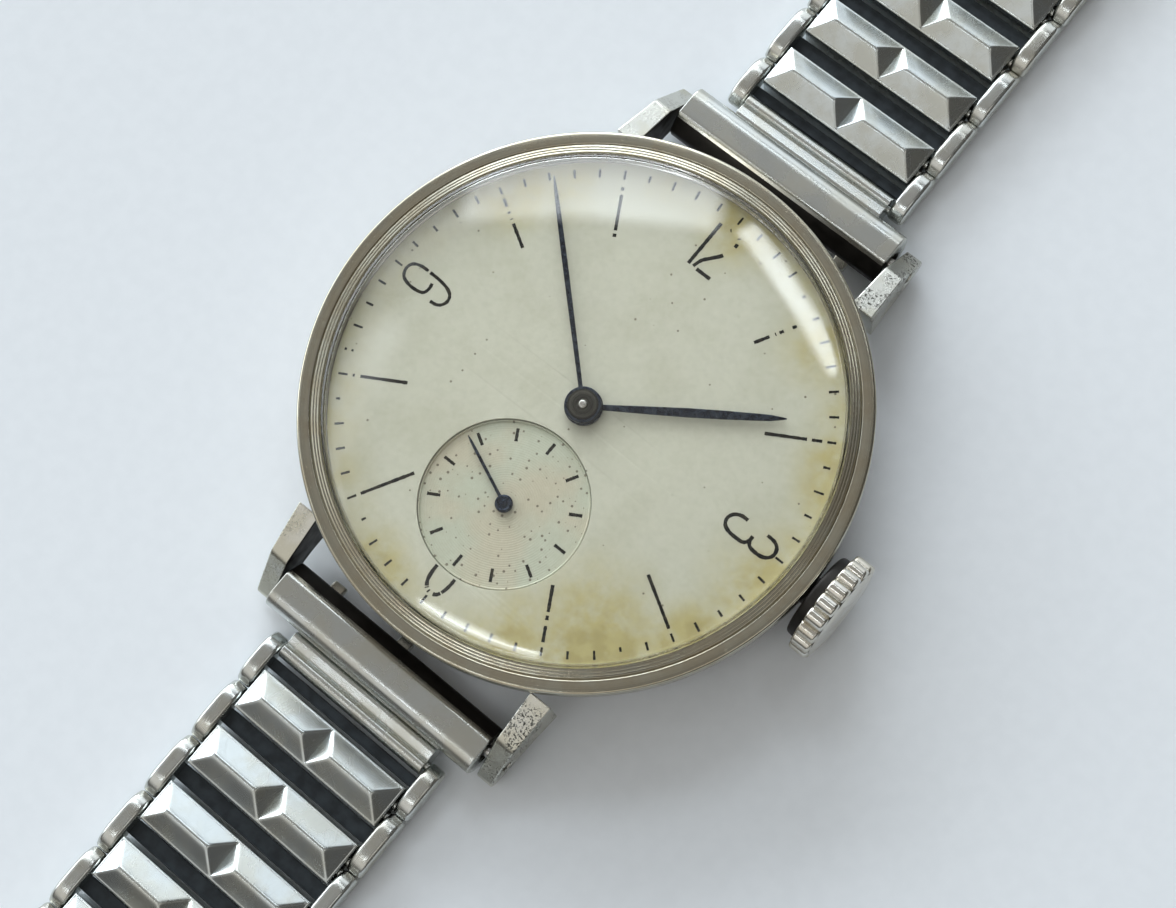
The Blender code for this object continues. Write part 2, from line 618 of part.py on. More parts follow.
def make_winding_works():
    to_crown_wheel = direction_between(BARREL, CROWN_WHEEL_CENTRE)
    ratchet = prism(gear(RATCHET_TEETH, KEYLESS_MODULE, BARREL, to_crown_wheel), 0.79, 0.94)
    join(ratchet, cylinder(0.6, 0.85, 2.9, BARREL), cylinder(0.4, 2.8, 4.18, BARREL))
    finish("ratchet_wheel", ratchet, "movement_steel", (*BARREL, 0.79))
    crown_wheel = prism(gear(CROWN_WHEEL_TEETH, KEYLESS_MODULE, CROWN_WHEEL_CENTRE,
                             gap_at(to_crown_wheel + 180, CROWN_WHEEL_TEETH)), 0.79, 0.94)
    join(crown_wheel, cylinder(0.55, 0.85, 2.0, CROWN_WHEEL_CENTRE),
         cylinder(1.4, 1.8, 1.95, CROWN_WHEEL_CENTRE, segments=24),
         contrate_ring(CROWN_WHEEL_CENTRE, *CONTRATE_RADII, CONTRATE_TEETH, 1.85, 2.15, 2.38))
    finish("crown_wheel", crown_wheel, "movement_steel", (*CROWN_WHEEL_CENTRE, 0.79))
    axis = (0.0, STEM_Z)
    pinion = prism(gear(WINDING_PINION_TEETH, KEYLESS_MODULE, axis, 270), *WINDING_PINION_X, axis="x")
    cut(pinion, cylinder(STEM_RADIUS + 0.05, 7, 9, axis, "x", 16))
    finish("winding_pinion", pinion, "movement_steel", (WINDING_PINION_X[0], *axis))
    stem = cylinder(STEM_RADIUS, STEM_INNER_X, STEM_OUTER_X, axis, "x", 16)
    finish("winding_stem", stem, "movement_steel", (STEM_INNER_X, *axis))
    make_crown(axis)


def make_crown(axis):
    fluted = []
    for k in range(CROWN_FLUTES):
        for radius, offset in ((CROWN_RADIUS, -0.2), (CROWN_RADIUS, 0.2), (CROWN_ROOT_RADIUS, 0.42),
                               (CROWN_ROOT_RADIUS, 0.58)):
            angle = FULL_TURN * (k + offset) / CROWN_FLUTES
            fluted.append((axis[0] + radius * math.cos(angle), axis[1] + radius * math.sin(angle)))
    crown = prism(fluted, CROWN_INNER_X, CROWN_RIBS_END_X, "x")
    cap_radius = CROWN_ROOT_RADIUS - 0.04
    cap = turned([(0, CROWN_RIBS_END_X - 0.4), (cap_radius, CROWN_RIBS_END_X - 0.4),
                  (cap_radius, CROWN_RIBS_END_X + 0.1)] + dome(cap_radius - 0.15, CROWN_RIBS_END_X + 0.15,
                                                               CROWN_OUTER_X, 4), axis, "x", 36)
    join(crown, cap)
    cut(crown, cylinder(TUBE_RADIUS + 0.2, CROWN_INNER_X - 1, TUBE_END_X + 0.15, axis, "x", 16),
        cylinder(STEM_RADIUS + 0.05, CROWN_INNER_X - 1, STEM_OUTER_X + 0.05, axis, "x", 16))
    finish("crown", crown, "case_steel", (CROWN_INNER_X, *axis))


# ---------------------------------------------------------------- bracelet

def outwards(side, outline):
    """A (y, z) outline drawn for side a, turned to the side it is on."""
    return [(side * y, z) for y, z in outline]


def pin(side, y, half_length, radius=PIN_RADIUS):
    return cylinder(radius, -half_length, half_length, (side * y, PIN_Z), "x")


def link_plates(side, start_y, end_outline):
    """The two side plates of a link, as one outline from its hinge pin at start_y to what it carries."""
    near = arc(LINK_END_RADIUS, 270, 135, 6, (start_y, PIN_Z))
    outline = outwards(side, near + end_outline)
    return [prism(outline, low, high, "x")
            for low, high in ((LINK_INNER_X, LINK_OUTER_X), (-LINK_OUTER_X, -LINK_INNER_X))]


def make_links(name, side, start_y, end_y, gap_start_y):
    """A pair of arched side plates held apart by two cross pins, and by a thin leaf that closes the gap
    between what comes before it and its row."""
    shoulder = 0.75
    far = [(start_y + shoulder, LINK_HEIGHT), (end_y - shoulder, LINK_HEIGHT)]
    far += arc(LINK_END_RADIUS, 45, -90, 6, (end_y, PIN_Z))
    plates = link_plates(side, start_y, far)
    gap_end_y = end_y - SLIDE_PIN - ROW_HALF_WIDTH
    near, far_edge = sorted((side * (gap_start_y + LEAF_CLEARANCE), side * (gap_end_y - LEAF_CLEARANCE)))
    leaf = box((-LINK_INNER_X - 0.1, near, LEAF_LOW), (LINK_INNER_X + 0.1, far_edge, LEAF_HIGH))
    solid = join(pin(side, start_y, 6.5), *plates, pin(side, end_y, 6.5), leaf)
    finish(name, solid, "bracelet_steel", (0, side * start_y, PIN_Z))


def make_row(name, side, y):
    """A box with open ends; its top is two hipped roofs that meet in a valley across its middle."""
    half = ROW_HALF_WIDTH
    lip = 0.12
    hip = 1.35
    roof_half = half - lip
    middle_ridges = ((-ROW_HALF_LENGTH + hip, -hip), (hip, ROW_HALF_LENGTH - hip))
    body = prism([(y - half, 0), (y + half, 0), (y + half, ROW_SIDE_HEIGHT), (y - half, ROW_SIDE_HEIGHT)],
                 -ROW_HALF_LENGTH, ROW_HALF_LENGTH, "x")
    roofs = []
    for ridge_start, ridge_end in middle_ridges:
        low_x = ridge_start - hip + lip
        high_x = ridge_end + hip - lip
        base = [(low_x, y - roof_half), (high_x, y - roof_half), (high_x, y + roof_half),
                (low_x, y + roof_half)]
        points = [(u, v, ROW_SIDE_HEIGHT - 0.1) for u, v in base]
        points += [(u, v, ROW_SIDE_HEIGHT + 0.05) for u, v in base]
        points += [(ridge_start, y, ROW_RIDGE_HEIGHT), (ridge_end, y, ROW_RIDGE_HEIGHT)]
        faces = [(3, 2, 1, 0), (0, 1, 5, 4), (1, 2, 6, 5), (2, 3, 7, 6), (3, 0, 4, 7),
                 (4, 5, 9, 8), (6, 7, 8, 9), (5, 6, 9), (7, 4, 8)]
        roofs.append(new_object("roof", points, faces))
    join(body, *roofs)
    inner = half - ROW_WALL
    cavity = prism([(y - inner, ROW_WALL), (y + inner, ROW_WALL), (y + inner, ROW_SIDE_HEIGHT - ROW_WALL),
                    (y - inner, ROW_SIDE_HEIGHT - ROW_WALL)], -ROW_HALF_LENGTH - 1, ROW_HALF_LENGTH + 1, "x")
    cut(body, cavity)
    if side < 0:
        body.data.transform(Matrix.Rotation(math.pi, 4, "Z"))
    finish(name, body, "bracelet_steel", (0, side * y, PIN_Z))


def make_end_piece(name, side):
    """The hooded tube between the lugs, with the narrower knuckle that the first links turn in."""
    hood = prism(outwards(side, [(BAR_Y + y, BAR_Z + z) for y, z in END_TUBE]),
                 -END_TUBE_HALF_LENGTH, END_TUBE_HALF_LENGTH, "x")
    knuckle = cylinder(KNUCKLE_RADIUS, -ROW_HALF_LENGTH, ROW_HALF_LENGTH,
                       (side * KNUCKLE_Y, PIN_Z + 0.1), "x", 16)
    web = prism(outwards(side, [(20.2, 0.55), (KNUCKLE_Y, 0.45), (KNUCKLE_Y, 1.4), (20.4, 2.3)]),
                -ROW_HALF_LENGTH + 0.1, ROW_HALF_LENGTH - 0.1, "x")
    tabs = []
    for x in (0.1, 5.6):
        outline = outwards(side, [(17.5, 1.1), (18.6, 1.1), (18.6, 1.55), (17.5, 1.55)])
        tabs.append(prism(outline, side * x - 0.5, side * x + 0.5, "x"))
    join(hood, web, knuckle, *tabs)
    cut(hood, cylinder(BAR_RADIUS + 0.1, -9, 9, (side * BAR_Y, BAR_Z), "x"),
        pin(side, KNUCKLE_Y, 9, PIN_RADIUS + 0.05))
    finish(name, hood, "bracelet_steel", (0, side * BAR_Y, BAR_Z))


def make_spring_bar(name, side):
    centre = (side * BAR_Y, BAR_Z)
    solid = cylinder(BAR_RADIUS, -BAR_HALF_LENGTH, BAR_HALF_LENGTH, centre, "x")
    join(solid, cylinder(BAR_PIVOT_RADIUS, -BAR_PIVOT_END_X, BAR_PIVOT_END_X, centre, "x"))
    finish(name, solid, "bracelet_steel", (0, *centre))


def make_band(letter, side):
    make_spring_bar("spring_bar_" + letter, side)
    make_end_piece("end_piece_" + letter, side)
    hinge_y = KNUCKLE_Y
    gap_start_y = KNUCKLE_Y + KNUCKLE_RADIUS
    for number in range(1, ROWS + 1):
        row_y = FIRST_ROW_Y + PITCH * (number - 1)
        make_links(f"links_{letter}{number}", side, hinge_y, row_y + SLIDE_PIN, gap_start_y)
        make_row(f"row_{letter}{number}", side, row_y)
        hinge_y = row_y + HINGE_PIN
        gap_start_y = row_y + ROW_HALF_WIDTH
    return hinge_y


# ---------------------------------------------------------------- clasp

def clasp_plate(side, hinge_y, length):
    """A flat plate with its own side plates and hinge pin, on the last row of the bracelet."""
    plate_y = hinge_y + CLASP_GAP
    low = min(side * plate_y, side * (plate_y + length))
    high = max(side * plate_y, side * (plate_y + length))
    plate = box((-CLASP_HALF_WIDTH, low, 0), (CLASP_HALF_WIDTH, high, CLASP_PLATE))
    ends = [(plate_y - 1.35, LINK_HEIGHT), (plate_y + 0.6, LINK_HEIGHT), (plate_y + 1.6, 0.5),
            (plate_y - 0.8, 0.1)]
    return join(plate, *link_plates(side, hinge_y, ends), pin(side, hinge_y, 6.5))


def make_clasp_base(hinge_y):
    """Side b's half: a long tray with adjusting slots. Its walls run on past its end to carry the cover."""
    solid = clasp_plate(-1, hinge_y, CLASP_BASE_LENGTH)
    start = hinge_y + CLASP_GAP
    end = start + CLASP_BASE_LENGTH
    pivot_y = end + 0.9
    for x in (-CLASP_HALF_WIDTH, CLASP_HALF_WIDTH - 0.5):
        join(solid, box((x, -end - 1.8, 0.3), (x + 0.5, -start - 3.0, CLASP_WALL_HEIGHT)))
    for number in range(4):
        slot_y = start + 6.0 + 2.6 * number
        cut(solid, box((-4.2, -slot_y - 1.2, -1), (4.2, -slot_y, 2)))
    cut(solid, cylinder(COVER_PIVOT_RADIUS + 0.07, -9, 9, (-pivot_y, COVER_PIVOT_Z), "x"))
    finish("clasp_base", solid, "bracelet_steel", (0, -hinge_y, PIN_Z))
    return pivot_y


def make_clasp_cover(pivot_y):
    """The cover lies down between the tray's walls and turns on two stub pins in them."""
    low = CLASP_WALL_HEIGHT - 0.05
    high = low + 0.5
    tip = -pivot_y + COVER_LENGTH
    plate = prism([(-pivot_y - 0.35, low), (tip, low), (tip, high - 0.2), (tip - 0.4, high), (-pivot_y, high),
                   (-pivot_y - 0.35, high - 0.2)], -COVER_HALF_WIDTH, COVER_HALF_WIDTH, "x")
    ear = [(-pivot_y - 0.35, 0.95), (-pivot_y + 0.35, 0.95), (-pivot_y + 0.6, low + 0.1),
           (-pivot_y - 0.3, low + 0.1)]
    for inner, outer in ((5.6, COVER_HALF_WIDTH - 0.02), (-5.6, -COVER_HALF_WIDTH + 0.02)):
        join(plate, prism(ear, min(inner, outer), max(inner, outer), "x"))
        stub_end = math.copysign(CLASP_HALF_WIDTH - 0.1, outer)
        join(plate, cylinder(COVER_PIVOT_RADIUS, min(inner, stub_end), max(inner, stub_end),
                             (-pivot_y, COVER_PIVOT_Z), "x"))
    finish("clasp_cover", plate, "bracelet_steel", (0, -pivot_y, COVER_PIVOT_Z))


def make_clasp_hook(hinge_y):
    """Side a's half: a short plate with a hook that drops into one of the tray's slots."""
    solid = clasp_plate(1, hinge_y, CLASP_HOOK_LENGTH)
    end = hinge_y + CLASP_GAP + CLASP_HOOK_LENGTH
    hook = [(end - 0.6, 0.1), (end, 0.1), (end + 0.1, 1.6), (end - 1.6, 2.0), (end - 1.6, 1.5),
            (end - 0.7, 1.2)]
    join(solid, prism(hook, -4.0, 4.0, "x"))
    cut(solid, box((-5.0, hinge_y + CLASP_GAP + 2.4, -1), (5.0, end - 3.0, 2)))
    finish("clasp_hook", solid, "bracelet_steel", (0, hinge_y, PIN_Z))


# ---------------------------------------------------------------- assembly

def main():
    for solid in list(bpy.data.objects):
        bpy.data.objects.remove(solid)
    make_case_middle()
    make_case_back()
    make_bezel()
    make_crystal()
    make_dials()
    make_hands()
    make_main_plate()
    make_bridges()
    make_going_train()
    make_barrel()
    make_escapement()
    make_motion_works()
    make_winding_works()
    make_clasp_hook(make_band("a", 1))
    make_clasp_cover(make_clasp_base(make_band("b", -1)))


main()
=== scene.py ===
import json
import math
import random

import bmesh
import bpy
from mathutils import Matrix, Vector


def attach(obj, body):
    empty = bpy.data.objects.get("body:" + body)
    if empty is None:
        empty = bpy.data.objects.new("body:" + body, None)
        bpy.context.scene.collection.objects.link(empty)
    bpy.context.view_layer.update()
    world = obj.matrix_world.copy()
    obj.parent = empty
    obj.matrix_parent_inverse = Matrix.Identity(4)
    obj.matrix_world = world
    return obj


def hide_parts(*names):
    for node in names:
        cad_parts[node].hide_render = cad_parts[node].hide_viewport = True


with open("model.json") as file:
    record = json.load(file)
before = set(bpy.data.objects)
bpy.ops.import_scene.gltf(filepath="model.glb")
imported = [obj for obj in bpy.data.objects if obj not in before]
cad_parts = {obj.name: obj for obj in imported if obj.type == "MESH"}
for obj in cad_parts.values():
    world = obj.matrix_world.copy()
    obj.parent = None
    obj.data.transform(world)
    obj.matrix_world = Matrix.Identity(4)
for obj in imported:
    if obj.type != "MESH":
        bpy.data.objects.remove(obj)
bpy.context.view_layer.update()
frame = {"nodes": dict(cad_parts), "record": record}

MM = 0.001
TAU = 2 * math.pi

# Places and sizes in millimetres, as the solids have them
DIAL_Z = 5.3
SECONDS_CENTRE = (0.0, -7.56)
SECONDS_DIAL_Z = 5.05
STEM_Z = 3.6
BAR = (19.45, 1.9)
PIN_Z = 0.95
ROWS = 6
PITCH = 4.35
FIRST_ROW_Y = 25.8
HINGE_PIN = 0.55
SLIDE_PIN = -0.3
KNUCKLE_Y = 22.5
LUG_INNER_X = 8.45
LUG_OUTER_X = 9.6      # at the tip
LUG_TIP_Y = 21.1
LUG_FLARE = 0.075      # how much wider the lug grows per millimetre towards the case
SHADE_EDGE = 0.72      # an end piece is painted dark, as shade, from this far on the case side of the bar
SHADE_TOP = 1.4        # and up to this high above it
EYE_R = 0.42
PIN_HALF = 6.5
ROOF_LENGTH = 5.62     # half sizes of the roofs on a row
ROOF_WIDTH = 1.32
EAVES = 1.80
CLASP_REACH = 2.1      # from the last pin to the clasp's plate
CLASP_HALF = 6.9
PIVOT_Z = 1.3


# ---- outlines and meshes, in millimetres

def softened(outline, radius=0.0, steps=4, closed=True):
    """The outline with its corners rounded. A corner's third number is a radius of its own."""
    corners = [Vector(corner[:2]) for corner in outline]
    count = len(corners)
    result = []
    for i, here in enumerate(corners):
        reach = outline[i][2] if len(outline[i]) > 2 else radius
        if reach == 0 or (not closed and i in (0, count - 1)):
            result.append(tuple(here))
            continue
        back = corners[i - 1] - here
        ahead = corners[(i + 1) % count] - here
        start = here + back.normalized() * min(reach, back.length * 0.48)
        end = here + ahead.normalized() * min(reach, ahead.length * 0.48)
        for k in range(steps + 1):
            t = k / steps
            result.append(tuple(start * (1 - t) ** 2 + here * 2 * t * (1 - t) + end * t ** 2))
    return result


def rectangle(x0, y0, x1, y1, radius):
    return softened([(x0, y0), (x1, y0), (x1, y1), (x0, y1)], radius, 5)


def mirrored(side, outline):
    return [(side * y, *rest) for y, *rest in outline]


def arc(radius, start, end, count, centre=(0.0, 0.0)):
    points = []
    for k in range(count):
        angle = math.radians(start + (end - start) * k / (count - 1))
        points.append((centre[0] + radius * math.cos(angle), centre[1] + radius * math.sin(angle)))
    return points


def circle(radius, count, centre=(0.0, 0.0)):
    return arc(radius, 0, 360 * (count - 1) / count, count, centre)


def signed_area(outline):
    return sum(a[0] * b[1] - b[0] * a[1] for a, b in zip(outline, outline[1:] + outline[:1])) / 2


def placed(axis, u, v, w):
    return (u, v, w) if axis == "z" else (w, u, v)


def new_object(name, data):
    piece = bpy.data.objects.new(name, data)
    bpy.context.scene.collection.objects.link(piece)
    return piece


def new_mesh(name, points, faces):
    mesh = bpy.data.meshes.new(name)
    mesh.from_pydata([Vector(p) * MM for p in points], [], faces)
    shell = bmesh.new()
    shell.from_mesh(mesh)
    bmesh.ops.recalc_face_normals(shell, faces=shell.faces)
    shell.to_mesh(mesh)
    shell.free()
    mesh.update()
    return new_object(name, mesh)


def turned(name, profile, centre=(0.0, 0.0), axis="z", segments=192, radius_at=None):
    """A closed solid of revolution from a closed outline of (radius, height). radius_at may shape each radius
    by its angle, as on a fluted crown."""
    if signed_area(profile) < 0:
        profile = profile[::-1]
    points, rings = [], []
    for radius, height in profile:
        if radius <= 1e-6:
            rings.append([len(points)] * segments)
            points.append(placed(axis, centre[0], centre[1], height))
            continue
        rings.append(list(range(len(points), len(points) + segments)))
        for k in range(segments):
            angle = TAU * k / segments
            r = radius_at(radius, angle) if radius_at else radius
            u, v = centre[0] + r * math.cos(angle), centre[1] + r * math.sin(angle)
            points.append(placed(axis, u, v, height))
    faces = []
    for ring, following in zip(rings, rings[1:] + rings[:1]):
        for k in range(segments):
            n = (k + 1) % segments
            corners = list(dict.fromkeys((ring[k], ring[n], following[n], following[k])))
            if len(corners) > 2:
                faces.append(tuple(corners))
    return new_mesh(name, points, faces)


def plate(name, outlines, low, high, edge, axis="z", resolution=3):
    """A flat plate with rounded edges: the first outline is its rim and the others are holes."""
    curve = bpy.data.curves.new(name, "CURVE")
    curve.dimensions = "2D"
    curve.fill_mode = "BOTH"
    for number, outline in enumerate(outlines):
        if (signed_area(outline) > 0) != (number == 0):
            outline = outline[::-1]
        spline = curve.splines.new("POLY")
        spline.points.add(len(outline) - 1)
        for point, (u, v) in zip(spline.points, outline):
            point.co = (u, v, 0, 1)
        spline.use_cyclic_u = True
    curve.offset = -edge
    curve.bevel_depth = edge
    curve.bevel_resolution = resolution
    curve.extrude = (high - low) / 2 - edge
    holder = new_object(name, curve)
    bpy.context.view_layer.update()
    mesh = bpy.data.meshes.new_from_object(holder.evaluated_get(bpy.context.evaluated_depsgraph_get()))
    bpy.data.objects.remove(holder)
    for vertex in mesh.vertices:
        u, v, w = vertex.co
        vertex.co = Vector(placed(axis, u, v, w + (low + high) / 2)) * MM
    mesh.materials.clear()
    mesh.name = name
    return apply(new_object(name, mesh), "WELD", merge_threshold=1e-7)


def two_plates(name, outlines, inner, outer, edge, resolution=3):
    """The same plate on each side of the band, from x = inner to x = outer."""
    return [plate(name, outlines, *sorted((hand * inner, hand * outer)), edge, "x", resolution)
            for hand in (1, -1)]


def pin(radius, half, rounding, centre):
    """A plain pin across the band."""
    profile = softened([(0, -half), (radius, -half, rounding), (radius, half, rounding), (0, half)])
    return turned("pin", profile, centre, "x", 24)


def apply(piece, kind, **settings):
    """Works a modifier into the piece's mesh."""
    modifier = piece.modifiers.new(kind, kind)
    for key, value in settings.items():
        setattr(modifier, key, value)
    depsgraph = bpy.context.evaluated_depsgraph_get()
    mesh = bpy.data.meshes.new_from_object(piece.evaluated_get(depsgraph))
    piece.modifiers.clear()
    before, piece.data = piece.data, mesh
    bpy.data.meshes.remove(before)
    return piece


def joined(name, pieces):
    """One object of all these meshes."""
    points, faces = [], []
    for piece in pieces:
        start = len(points)
        points += [v.co / MM for v in piece.data.vertices]
        faces += [tuple(start + i for i in polygon.vertices) for polygon in piece.data.polygons]
        bpy.data.objects.remove(piece)
    return new_mesh(name, points, faces)


def dress(piece, material, body, node=None, angle=32):
    """Gives a finished piece its shading, material, body and the node that it stands for."""
    piece.data.materials.clear()
    piece.data.materials.append(material)
    piece.data.shade_smooth()
    piece.data.set_sharp_from_angle(angle=math.radians(angle))
    piece.modifiers.new("weights", "WEIGHTED_NORMAL").keep_sharp = True
    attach(piece, body)
    if node:
        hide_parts(node)


# ---- materials

class Nodes:
    """Adds nodes to a tree. What goes into a socket is a number, a colour or another node's output."""

    def __init__(self, tree):
        self.tree = tree

    def feed(self, socket, value):
        if isinstance(value, bpy.types.NodeSocket):
            self.tree.links.new(value, socket)
        elif value is not None:
            socket.default_value = value

    def add(self, kind, inputs=(), **settings):
        node = self.tree.nodes.new("ShaderNode" + kind)
        for key, value in settings.items():
            setattr(node, key, value)
        for key, value in dict(inputs).items():
            self.feed(node.inputs[key], value)
        return node

    def math(self, operation, a, b=None, clamp=False):
        return self.add("Math", {0: a, 1: b}, operation=operation, use_clamp=clamp).outputs[0]

    def times(self, a, b):
        return self.math("MULTIPLY", a, b)

    def vector(self, operation, a, b=None, scale=None):
        node = self.add("VectorMath", {0: a, 1: b, 3: scale}, operation=operation)
        return node.outputs["Value" if operation in ("LENGTH", "DISTANCE", "DOT_PRODUCT") else "Vector"]

    def ramp(self, value, low, high, out_low=0.0, out_high=1.0):
        """A smooth step from one number to another as the value goes from low to high."""
        limits = {"Value": value, "From Min": low, "From Max": high, "To Min": out_low, "To Max": out_high}
        return self.add("MapRange", limits, interpolation_type="SMOOTHSTEP").outputs["Result"]

    def choose(self, share, first, second):
        """A mix of two shaders."""
        return self.add("MixShader", {0: share, 1: first, 2: second}).outputs[0]


class Look(Nodes):
    """A node material on one Principled shader. Coordinates are the piece's own, in millimetres."""

    def __init__(self, name, colour, metallic, roughness, **sockets):
        self.material = bpy.data.materials.new(name)
        self.material.use_nodes = True
        super().__init__(self.material.node_tree)
        self.shader = self.tree.nodes["Principled BSDF"]
        self.tone = colour
        self.relief = None
        self.set("Base Color", (*colour, 1.0))
        self.set("Metallic", metallic)
        self.set("Roughness", roughness)
        for key, value in sockets.items():
            self.set(key.replace("_", " "), value)
        self.mm = self.vector("SCALE", self.add("TexCoord").outputs["Object"], scale=1000.0)

    def set(self, socket, value):
        self.feed(self.shader.inputs[socket], value)

    def turned_radius(self, centre=(0.0, 0.0, 0.0), mask=(1.0, 1.0, 0.0)):
        """Distance in millimetres from an axis: Z for the mask (1, 1, 0), X for (0, 1, 1)."""
        offset = self.vector("SUBTRACT", self.mm, centre)
        return self.vector("LENGTH", self.vector("MULTIPLY", offset, mask))

    def noise(self, scale, detail=2.0, stretch=(1.0, 1.0, 1.0), roughness=0.5, at=None):
        place = self.vector("MULTIPLY", self.mm if at is None else at, stretch)
        inputs = {"Vector": place, "Scale": scale, "Detail": detail, "Roughness": roughness}
        return self.add("TexNoise", inputs).outputs["Fac"]

    def lines(self, along, scale):
        """Noise that changes only with one number, such as the radius: turned or brushed lines."""
        inputs = {"W": along, "Scale": scale, "Detail": 3.0, "Roughness": 0.6}
        return self.add("TexNoise", inputs, noise_dimensions="1D").outputs["Fac"]

    def cover(self, share, colour):
        """Lays a colour over what is there already."""
        under = (*self.tone, 1.0) if isinstance(self.tone, tuple) else self.tone
        layers = {"Factor": share, 6: under, 7: (*colour, 1.0)}
        self.tone = self.add("Mix", layers, data_type="RGBA").outputs[2]
        self.set("Base Color", self.tone)

    def dull(self, noise, low, high, extra=None):
        """Roughness from low to high with the noise, and some extra on top."""
        roughness = self.ramp(noise, 0.3, 0.7, low, high)
        self.set("Roughness", roughness if extra is None else self.math("ADD", roughness, extra))

    def bump(self, height, depth, strength=1.0):
        """Adds a relief, its depth in millimetres, on top of those already there."""
        inputs = {"Strength": strength, "Distance": depth * MM, "Height": height, "Normal": self.relief}
        self.relief = self.add("Bump", inputs).outputs["Normal"]
        self.set("Normal", self.relief)


def toned(colour, *factors):
    """The colour times one factor, or times one for each channel."""
    return tuple(c * f for c, f in zip(colour, factors if len(factors) == 3 else factors * 3))


def scratches(look, scale, turn, share):
    """Fine straight scratches, all at about one angle: a mask from 0 to 1."""
    cos, sin = math.cos(turn), math.sin(turn)
    along = look.vector("DOT_PRODUCT", look.mm, (cos, sin, 0.3))
    across = look.vector("DOT_PRODUCT", look.mm, (-sin, cos, 0.2))
    place = look.add("CombineXYZ", {"X": look.times(along, scale), "Y": look.times(across, scale * 0.05)})
    return look.ramp(look.noise(1.0, 0.0, at=place.outputs["Vector"]), 0.70 - share, 0.76 - share)


def polished_steel(name, colour, roughness=0.2, wear=1.0, turn=0.5, waves=1.0):
    """Steel once polished and long worn: soft waves, fine scratches and duller patches."""
    look = Look(name, colour, 1.0, roughness)
    haze = look.noise(0.35, 3.0, roughness=0.6)
    fine = look.noise(5.0, 3.0, roughness=0.6)
    long, short = scratches(look, 9.0, turn, 0.02 * wear), scratches(look, 13.0, turn + 1.9, 0.0)
    marks = look.math("MAXIMUM", long, short)
    look.cover(look.ramp(haze, 0.35, 0.65), toned(colour, 0.90, 0.86, 0.79))
    look.cover(look.times(look.ramp(fine, 0.5, 0.75), 0.25 * wear), toned(colour, 0.6))
    look.cover(look.times(marks, 0.3 * wear), toned(colour, 0.6))
    look.dull(haze, roughness * 0.85, roughness * 1.2, look.times(marks, 0.08 * wear))
    look.bump(look.noise(0.7, 1.0), 0.03 * waves, 0.5)
    look.bump(fine, 0.0015, 0.6 * wear)
    look.bump(marks, 0.002, 0.5 * wear)
    return look.material


def turned_steel(name, colour, roughness, mask, depth=0.0015):
    """Steel with fine lines left by the lathe, round the mask's axis."""
    look = Look(name, colour, 1.0, roughness)
    rings = look.lines(look.turned_radius(mask=mask), 12.0)
    mottle = look.noise(0.5, 3.0, roughness=0.6)
    nicks = look.ramp(look.noise(2.6, 3.0, roughness=0.7), 0.68, 0.73)
    look.cover(look.ramp(mottle, 0.35, 0.65), toned(colour, 0.93, 0.88, 0.82))
    look.cover(look.ramp(rings, 0.35, 0.65, 0.0, 0.22), toned(colour, 0.6))
    look.cover(look.times(nicks, 0.5), toned(colour, 1.35))
    look.dull(mottle, roughness * 0.9, roughness * 1.15)
    look.bump(rings, depth, 0.6)
    look.bump(nicks, 0.006, 0.3)
    return look.material


def pitted_steel(name, colour, roughness):
    """Old polished steel with patches of small dark pits, more of them towards +X, as on the lugs."""
    look = Look(name, colour, 1.0, roughness)
    side = look.ramp(look.vector("DOT_PRODUCT", look.mm, (1.0, 0.0, 0.0)), -9.0, 9.0, 0.35, 1.0)
    patch = look.times(side, look.ramp(look.noise(0.45, 1.0), 0.44, 0.58))
    pits = look.ramp(look.noise(6.5, 3.0, roughness=0.8), 0.52, 0.57)
    spots = look.times(patch, pits)
    haze = look.noise(0.4, 2.0)
    look.cover(look.ramp(haze, 0.4, 0.6), toned(colour, 0.93, 0.91, 0.84))
    look.cover(look.times(spots, 0.95), (0.03, 0.028, 0.022))
    look.dull(haze, roughness * 0.8, roughness * 1.2, look.times(spots, 0.3))
    look.bump(look.noise(0.7, 1.0), 0.03, 0.5)
    look.bump(spots, 0.015, 0.5)
    return look.material


def dark_steel(name, colour):
    """Dull dark steel, as painted shade: on the leaf under each gap of the bracelet and on the skirt behind
    the crown.
    """
    look = Look(name, toned(colour, 0.75), 0.6, 0.5)
    fine = look.noise(1.2, 3.0)
    look.cover(look.ramp(fine, 0.3, 0.7), toned(colour, 1.4))
    look.dull(fine, 0.38, 0.55)
    look.bump(look.noise(4.0, 3.0), 0.003, 0.4)
    return look.material


def yellowed(look, cloud):
    """How far the dial has yellowed: towards the rim, and in the patches of PATINA."""
    flat = look.vector("MULTIPLY", look.mm, (1.0, 1.0, 0.0))
    patches = 0.0
    for x, y, reach, amount in PATINA:
        near = look.ramp(look.vector("DISTANCE", flat, (x, y, 0.0)), reach, 0.0, 0.0, amount)
        patches = look.math("MAXIMUM", patches, near)
    rim = look.ramp(look.turned_radius(), 12.6, 15.9, 0.0, 0.6)
    return look.math("ADD", look.times(rim, look.ramp(cloud, 0.3, 0.6, 0.5, 1.1)), patches)


def fly_specks(look, density, largest, share):
    """Small dark dots, one in some of the cells of a scattered grid."""
    cells = look.add("TexVoronoi", {"Vector": look.mm, "Scale": density}, voronoi_dimensions="2D")
    chosen = look.add("SeparateColor", {0: cells.outputs["Color"]})
    size = look.ramp(chosen.outputs[1], 0.0, 1.0, 0.015, largest)
    inside = look.math("LESS_THAN", cells.outputs["Distance"], size)
    return look.times(inside, look.math("LESS_THAN", chosen.outputs[0], share))


